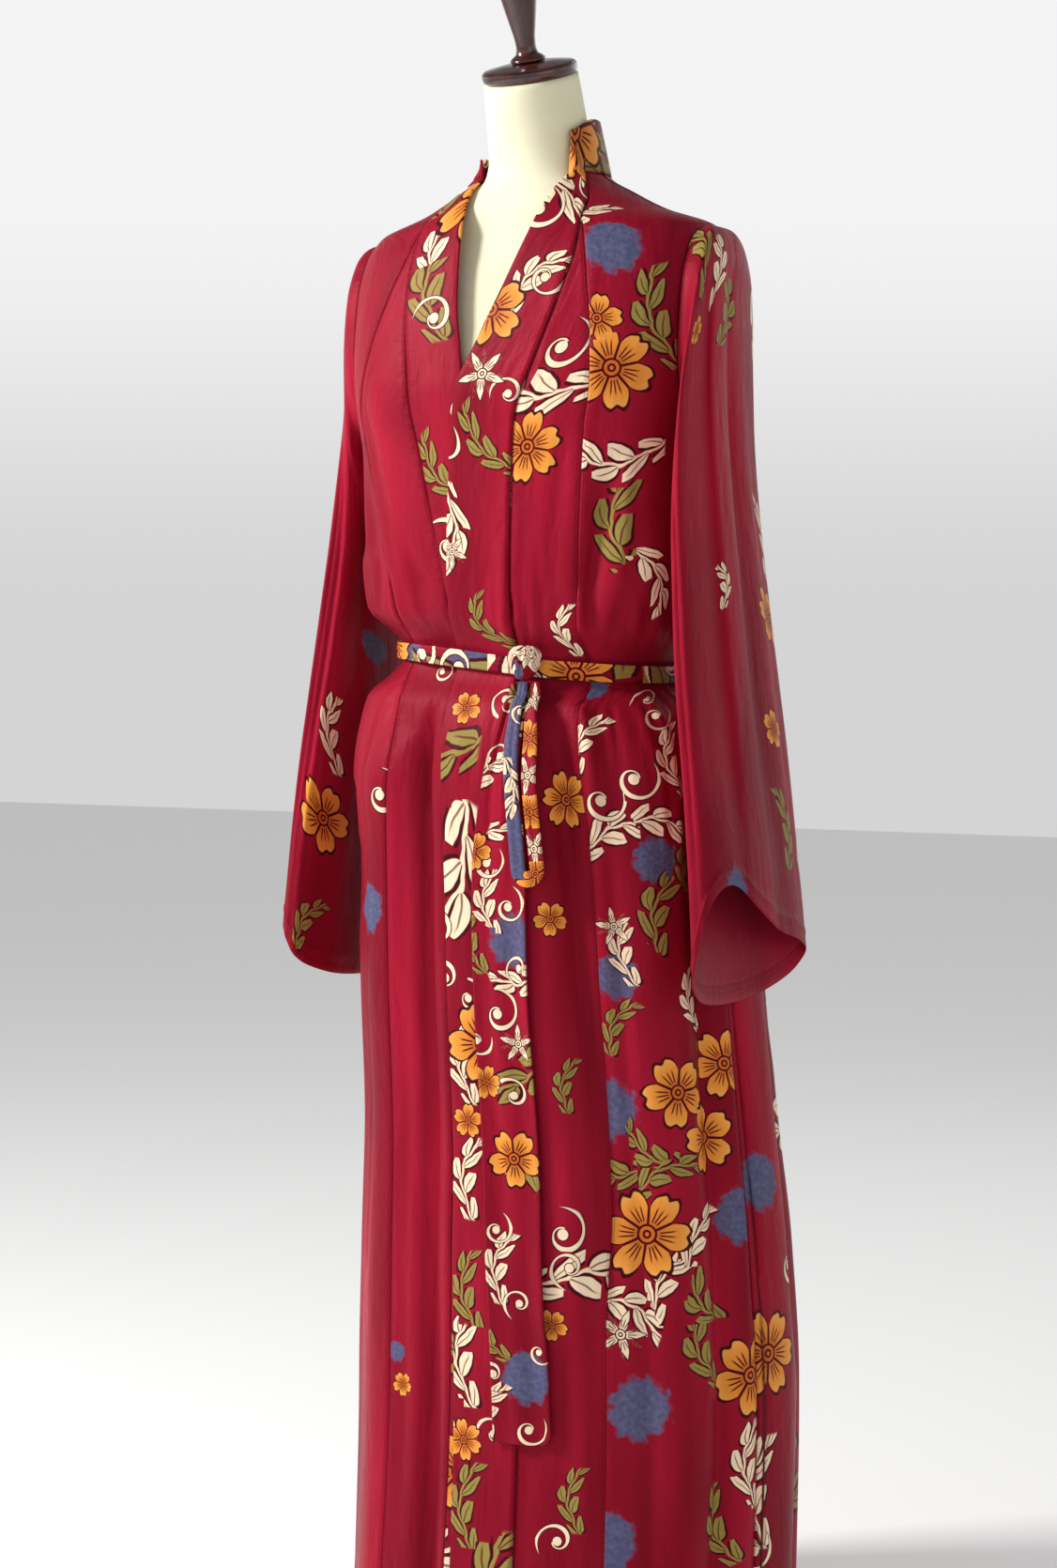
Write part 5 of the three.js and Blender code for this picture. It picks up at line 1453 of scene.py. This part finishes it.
tail_print = [
    ("flower", 0, 0.784, 0.02, 30, 0),
    ("spray", 0, 0.672, 0.036, 100, 1),
    ("curl", 0.3, 0.769, 0.02, 30, 0),
    ("patch", 0.7, 0.672, 0.03, 0, 0),
    ("spray", 0.35, 0.716, 0.034, 95, 0),
    ("curl", 0.45, 0.575, 0.024, 70, 0),
    ("flower", 0.7, 0.537, 0.02, 270, 4),
    ("curl", 0.6, 0.47, 0.02, 160, 1),
    ("flower", 0.55, 0.388, 0.03, 20, 0),
    ("spray", 0.3, 0.246, 0.036, 80, 0),
    ("spray", 0, 0.157, 0.03, 120, 1),
    ("curl", 0.55, 0.201, 0.018, 220, 1),
    ("patch", 0.6, 0.104, 0.03, 0, 1),
    ("curl", 0.6, 0.037, 0.02, 20, 0),
    ("spray", 0, 0.06, 0.03, 70, 0),
    ("flower", 0.2, 0.485, 0.018, 40, 1),
]
tail = sash_piece("tail", tail_points, 37, {"spray": 8, "curl": 10}, tail_print, hems=True)
finish_cloth(tail, ["sash_tail"], CLOTH_THICK)


# ------------------------------------------------------------------------------------ dress form
# A limbless torso padded smooth and covered in cream jersey. Its neck leans forward a little.

FORM_SECTIONS = Profile(
    ("z", "half", "front", "back", "mid"),
    (0.716, 0.128, 0.084, 0.092, 0.008),
    (0.722, 0.142, 0.096, 0.106, 0.008),
    (0.790, 0.156, 0.106, 0.120, 0.008),
    (0.860, 0.154, 0.106, 0.114, 0.005),
    (0.920, 0.134, 0.093, 0.092, 0.002),
    (0.958, 0.121, 0.086, 0.082, 0),
    (1.010, 0.125, 0.092, 0.084, 0),
    (1.090, 0.138, 0.102, 0.092, 0),
    (1.170, 0.150, 0.114, 0.100, 0),
    (1.215, 0.156, 0.117, 0.104, 0),
    (1.270, 0.162, 0.107, 0.106, 0),
    (1.320, 0.168, 0.094, 0.100, 0),
    (1.348, 0.169, 0.082, 0.092, 0),
    (1.363, 0.166, 0.076, 0.084, 0),
    (1.384, 0.1229, 0.075, 0.084, -0.001),
    (1.401, 0.0884, 0.065, 0.072, -0.002),
    (1.418, 0.0575, 0.052, 0.055, -0.005),
    (1.440, 0.0495, 0.048, 0.049, -0.011),
    (1.470, 0.0475, 0.047, 0.048, -0.018),
    (1.511, 0.045, 0.045, 0.045, -0.0295),
)
FORM_BOTTOM_Z = 0.716
NECK_LEAN = math.radians(17)
NECK_TOP_Z = 1.511
NECK_TOP = Vector((0, -0.0295, NECK_TOP_Z))

jersey, tree, shader = new_material("cream jersey")
place = tree.nodes.new("ShaderNodeTexCoord").outputs["Object"]
x, y, z = split(tree, place)
knit = (z * (2 * math.pi / 0.0011)).op("SINE") * ((x + y) * (2 * math.pi / 0.0013)).op("SINE")
worn = noise(tree, place, 14.0, 3.0)
cream_jersey = mix_color(tree, worn.over(0.35, 0.75), (0.90, 0.86, 0.62), (0.82, 0.77, 0.53))
tree.links.new(cream_jersey, shader.inputs["Base Color"])
shader.inputs["Roughness"].default_value = 0.88
shader.inputs["Sheen Weight"].default_value = 0.15
bump(tree, knit * 0.00006 + worn * 0.0006, shader)

heights = np.linspace(FORM_BOTTOM_Z, NECK_TOP_Z, 150)
around, height = np.meshgrid(np.linspace(0, 360, 97), heights)
chest = smoothstep(height, 1.0, 1.2) * (1 - smoothstep(height, 1.350, 1.380))
section = {name: FORM_SECTIONS.at(name, height) for name in ("half", "front", "back", "mid")}
section["square"] = 2 + 0.3 * chest
turn = np.radians(around)
radius = section_radius(section, turn)
sunk_y = -radius * np.cos(turn)
lean = smoothstep(height, 1.420, 1.500) * math.tan(NECK_LEAN)
torso_points = np.stack([radius * np.sin(turn), section["mid"] + sunk_y, height + sunk_y * lean], -1)
bottom, top = torso_points[:1].copy(), torso_points[-1:].copy()
bottom[..., :2] = (0, 0.008)
top[:] = NECK_TOP
torso_points = np.concatenate([bottom, torso_points, top])
torso_points[:, -1] = torso_points[:, 0]
torso_uv = flat_cloth(torso_points)
torso = bpy.data.objects.new("torso", grid_mesh("torso", torso_points, torso_uv, torso_uv, [], True))
bpy.context.collection.objects.link(torso)
torso.data.materials.append(jersey)
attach(torso, "root")
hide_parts("form_torso")


# --------------------------------------------------------------------------------- cap and finial
# The neck is closed by a cap with a tall finial, both turned in mahogany and polished. They lean
# forward with the neck.


def turned(name, outline, node, material, tilt=Matrix()):
    """A piece turned from its outline of radius and height, and shaded smooth."""
    mould = bmesh.new()
    line = [mould.verts.new((radius, 0, height)) for radius, height in outline]
    edges = [mould.edges.new(pair) for pair in zip(line[:-1], line[1:])]
    bmesh.ops.spin(
        mould, geom=line + edges, cent=(0, 0, 0), axis=(0, 0, 1), angle=2 * math.pi, steps=72, use_merge=True
    )
    bmesh.ops.remove_doubles(mould, verts=mould.verts, dist=1e-6)
    bmesh.ops.recalc_face_normals(mould, faces=mould.faces)
    bmesh.ops.transform(mould, matrix=tilt, verts=mould.verts)
    mesh = bpy.data.meshes.new(name)
    mould.to_mesh(mesh)
    mould.free()
    mesh.polygons.foreach_set("use_smooth", np.ones(len(mesh.polygons), bool))
    mesh.materials.append(material)
    piece = bpy.data.objects.new(name, mesh)
    bpy.context.collection.objects.link(piece)
    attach(piece, "root")
    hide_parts(node)
    return piece


def rounded(corners, steps=5):
    """An outline with each corner (radius, height, rounding) cut round; rounding 0 stays sharp."""
    points = []
    for i, (radius, height, rounding) in enumerate(corners):
        here = Vector((radius, height))
        if not rounding:
            points.append(here)
            continue
        last, following = (Vector(corners[i + k][:2]) for k in (-1, 1))
        start = here + (last - here).normalized() * rounding
        end = here + (following - here).normalized() * rounding
        for k in range(steps + 1):
            t = k / steps
            points.append(start * (1 - t) ** 2 + here * 2 * t * (1 - t) + end * t ** 2)
    return [tuple(point) for point in points]


mahogany, tree, shader = new_material("polished mahogany")
place = tree.nodes.new("ShaderNodeTexCoord").outputs["Object"]
stretched = tree.nodes.new("ShaderNodeVectorMath")
stretched.operation = "MULTIPLY"
stretched.inputs[1].default_value = (1.0, 1.0, 0.12)
tree.links.new(place, stretched.inputs[0])
grain = noise(tree, stretched.outputs[0], 160.0, 5.0, 0.6)
figure = noise(tree, stretched.outputs[0], 28.0, 2.0)
wood = mix_color(tree, grain.over(0.35, 0.65), (0.060, 0.010, 0.006), (0.018, 0.004, 0.003))
wood = mix_color(tree, figure.over(0.45, 0.75) * 0.6, wood, (0.110, 0.020, 0.010))
tree.links.new(wood, shader.inputs["Base Color"])
tree.links.new((grain * 0.12 + 0.18).socket, shader.inputs["Roughness"])
shader.inputs["Coat Weight"].default_value = 0.6
shader.inputs["Coat Roughness"].default_value = 0.12
bump(tree, grain * 0.00015, shader)

neck_tilt = Matrix.Translation(NECK_TOP) @ Matrix.Rotation(NECK_LEAN, 4, "X")
cap_outline = rounded([
    (0, 0.0004, 0), (0.0435, 0.0004, 0.002), (0.047, 0.007, 0.004), (0.0445, 0.0125, 0.003),
    (0.025, 0.0155, 0.004), (0.012, 0.016, 0.001), (0, 0.016, 0),
])
turned("cap", cap_outline, "neck_cap", mahogany, neck_tilt)
FINIAL = Profile(
    ("height", "radius"),
    (0.0164, 0.0160), (0.0185, 0.0170), (0.021, 0.0150), (0.024, 0.0110), (0.030, 0.0095),
    (0.038, 0.0100), (0.052, 0.0125), (0.070, 0.0160), (0.086, 0.0185), (0.098, 0.0190),
    (0.109, 0.0170), (0.117, 0.0120), (0.121, 0.0060), (0.122, 0.0004),
)
# The rings lie close together at the finial's foot and at its tip.
rings = np.concatenate([
    np.linspace(0.0164, 0.024, 12)[:-1],
    np.linspace(0.024, 0.117, 34)[:-1],
    np.linspace(0.117, 0.122, 10),
])
finial_outline = [(0, 0.0164), *zip(FINIAL.at("radius", rings), rings), (0, 0.122)]
turned("finial", finial_outline, "neck_finial", mahogany, neck_tilt)


# ------------------------------------------------------------------------------------------ stand
# The torso stands on a round steel pole with a heavy round foot, both blackened. The pole reaches
# from the foot's boss to the torso's underside.

steel, tree, shader = new_material("blackened steel")
place = tree.nodes.new("ShaderNodeTexCoord").outputs["Object"]
wear = noise(tree, place, 40.0, 4.0)
black_steel = mix_color(tree, wear, (0.030, 0.030, 0.033), (0.055, 0.055, 0.058))
tree.links.new(black_steel, shader.inputs["Base Color"])
tree.links.new((wear * 0.2 + 0.32).socket, shader.inputs["Roughness"])
shader.inputs["Metallic"].default_value = 0.85
bump(tree, wear * 0.0002, shader)

POLE_RADIUS, POLE_FOOT_Z, POLE_TOP_Z = 0.014, 0.0225, 0.7156
pole_outline = rounded([
    (0, POLE_FOOT_Z, 0), (POLE_RADIUS, POLE_FOOT_Z, 0.001), (POLE_RADIUS, POLE_TOP_Z, 0.001),
    (0, POLE_TOP_Z, 0),
])
turned("pole", pole_outline, "stand_pole", steel)
base_outline = rounded([
    (0, 0, 0), (0.160, 0, 0.002), (0.160, 0.0095, 0.004), (0.100, 0.015, 0.015), (0.040, 0.018, 0.006),
    (0.030, 0.022, 0.002), (0, 0.022, 0),
])
turned("foot", base_outline, "stand_base", steel)


# ------------------------------------------------------------------------------- floor and light
# A pale floor with a faint glow of its own, in a room that is pale round the robe and dark overhead.
# A soft key light stands high in front, on the wearer's right. A weak one fills the other side, and
# another, behind, lifts the edges.

floor_mould = bmesh.new()
bmesh.ops.create_grid(floor_mould, x_segments=1, y_segments=1, size=12)
floor = bpy.data.objects.new("floor", bpy.data.meshes.new("floor"))
floor_mould.to_mesh(floor.data)
floor_mould.free()
bpy.context.collection.objects.link(floor)
floor_paint, _, floor_shader = new_material("pale floor")
floor_shader.inputs["Base Color"].default_value = (0.90, 0.90, 0.89, 1)
floor_shader.inputs["Emission Color"].default_value = (1, 1, 1, 1)
floor_shader.inputs["Emission Strength"].default_value = 0.26
floor_shader.inputs["Roughness"].default_value = 0.9
floor.data.materials.append(floor_paint)

world = bpy.data.worlds.new("studio")
world.use_nodes = True
sky = world.node_tree
rise = split(sky, sky.nodes.new("ShaderNodeTexCoord").outputs["Generated"])[2]
backdrop = mix_color(sky, rise.over(0.0, 0.12), (0.66, 0.66, 0.66), (0.90, 0.90, 0.90))
backdrop = mix_color(sky, rise.over(0.20, 0.50), backdrop, (0.17, 0.17, 0.17))
sky.links.new(backdrop, sky.nodes["Background"].inputs[0])
bpy.context.scene.world = world
bpy.context.scene.view_settings.view_transform = "Standard"

LAMP_AIM = Vector((0, 0, 0.9))
for name, place, size, power in (
    ("key", (-2.3, -2.0, 2.7), 0.8, 140),
    ("fill", (3.2, -1.4, 1.8), 2.2, 8),
    ("back", (0.5, 3.0, 2.6), 2.4, 10),
):
    lamp = bpy.data.objects.new(name, bpy.data.lights.new(name, "AREA"))
    lamp.data.size = size
    lamp.data.energy = power
    lamp.location = place
    lamp.rotation_euler = (LAMP_AIM - Vector(place)).to_track_quat("-Z", "Y").to_euler()
    bpy.context.collection.objects.link(lamp)
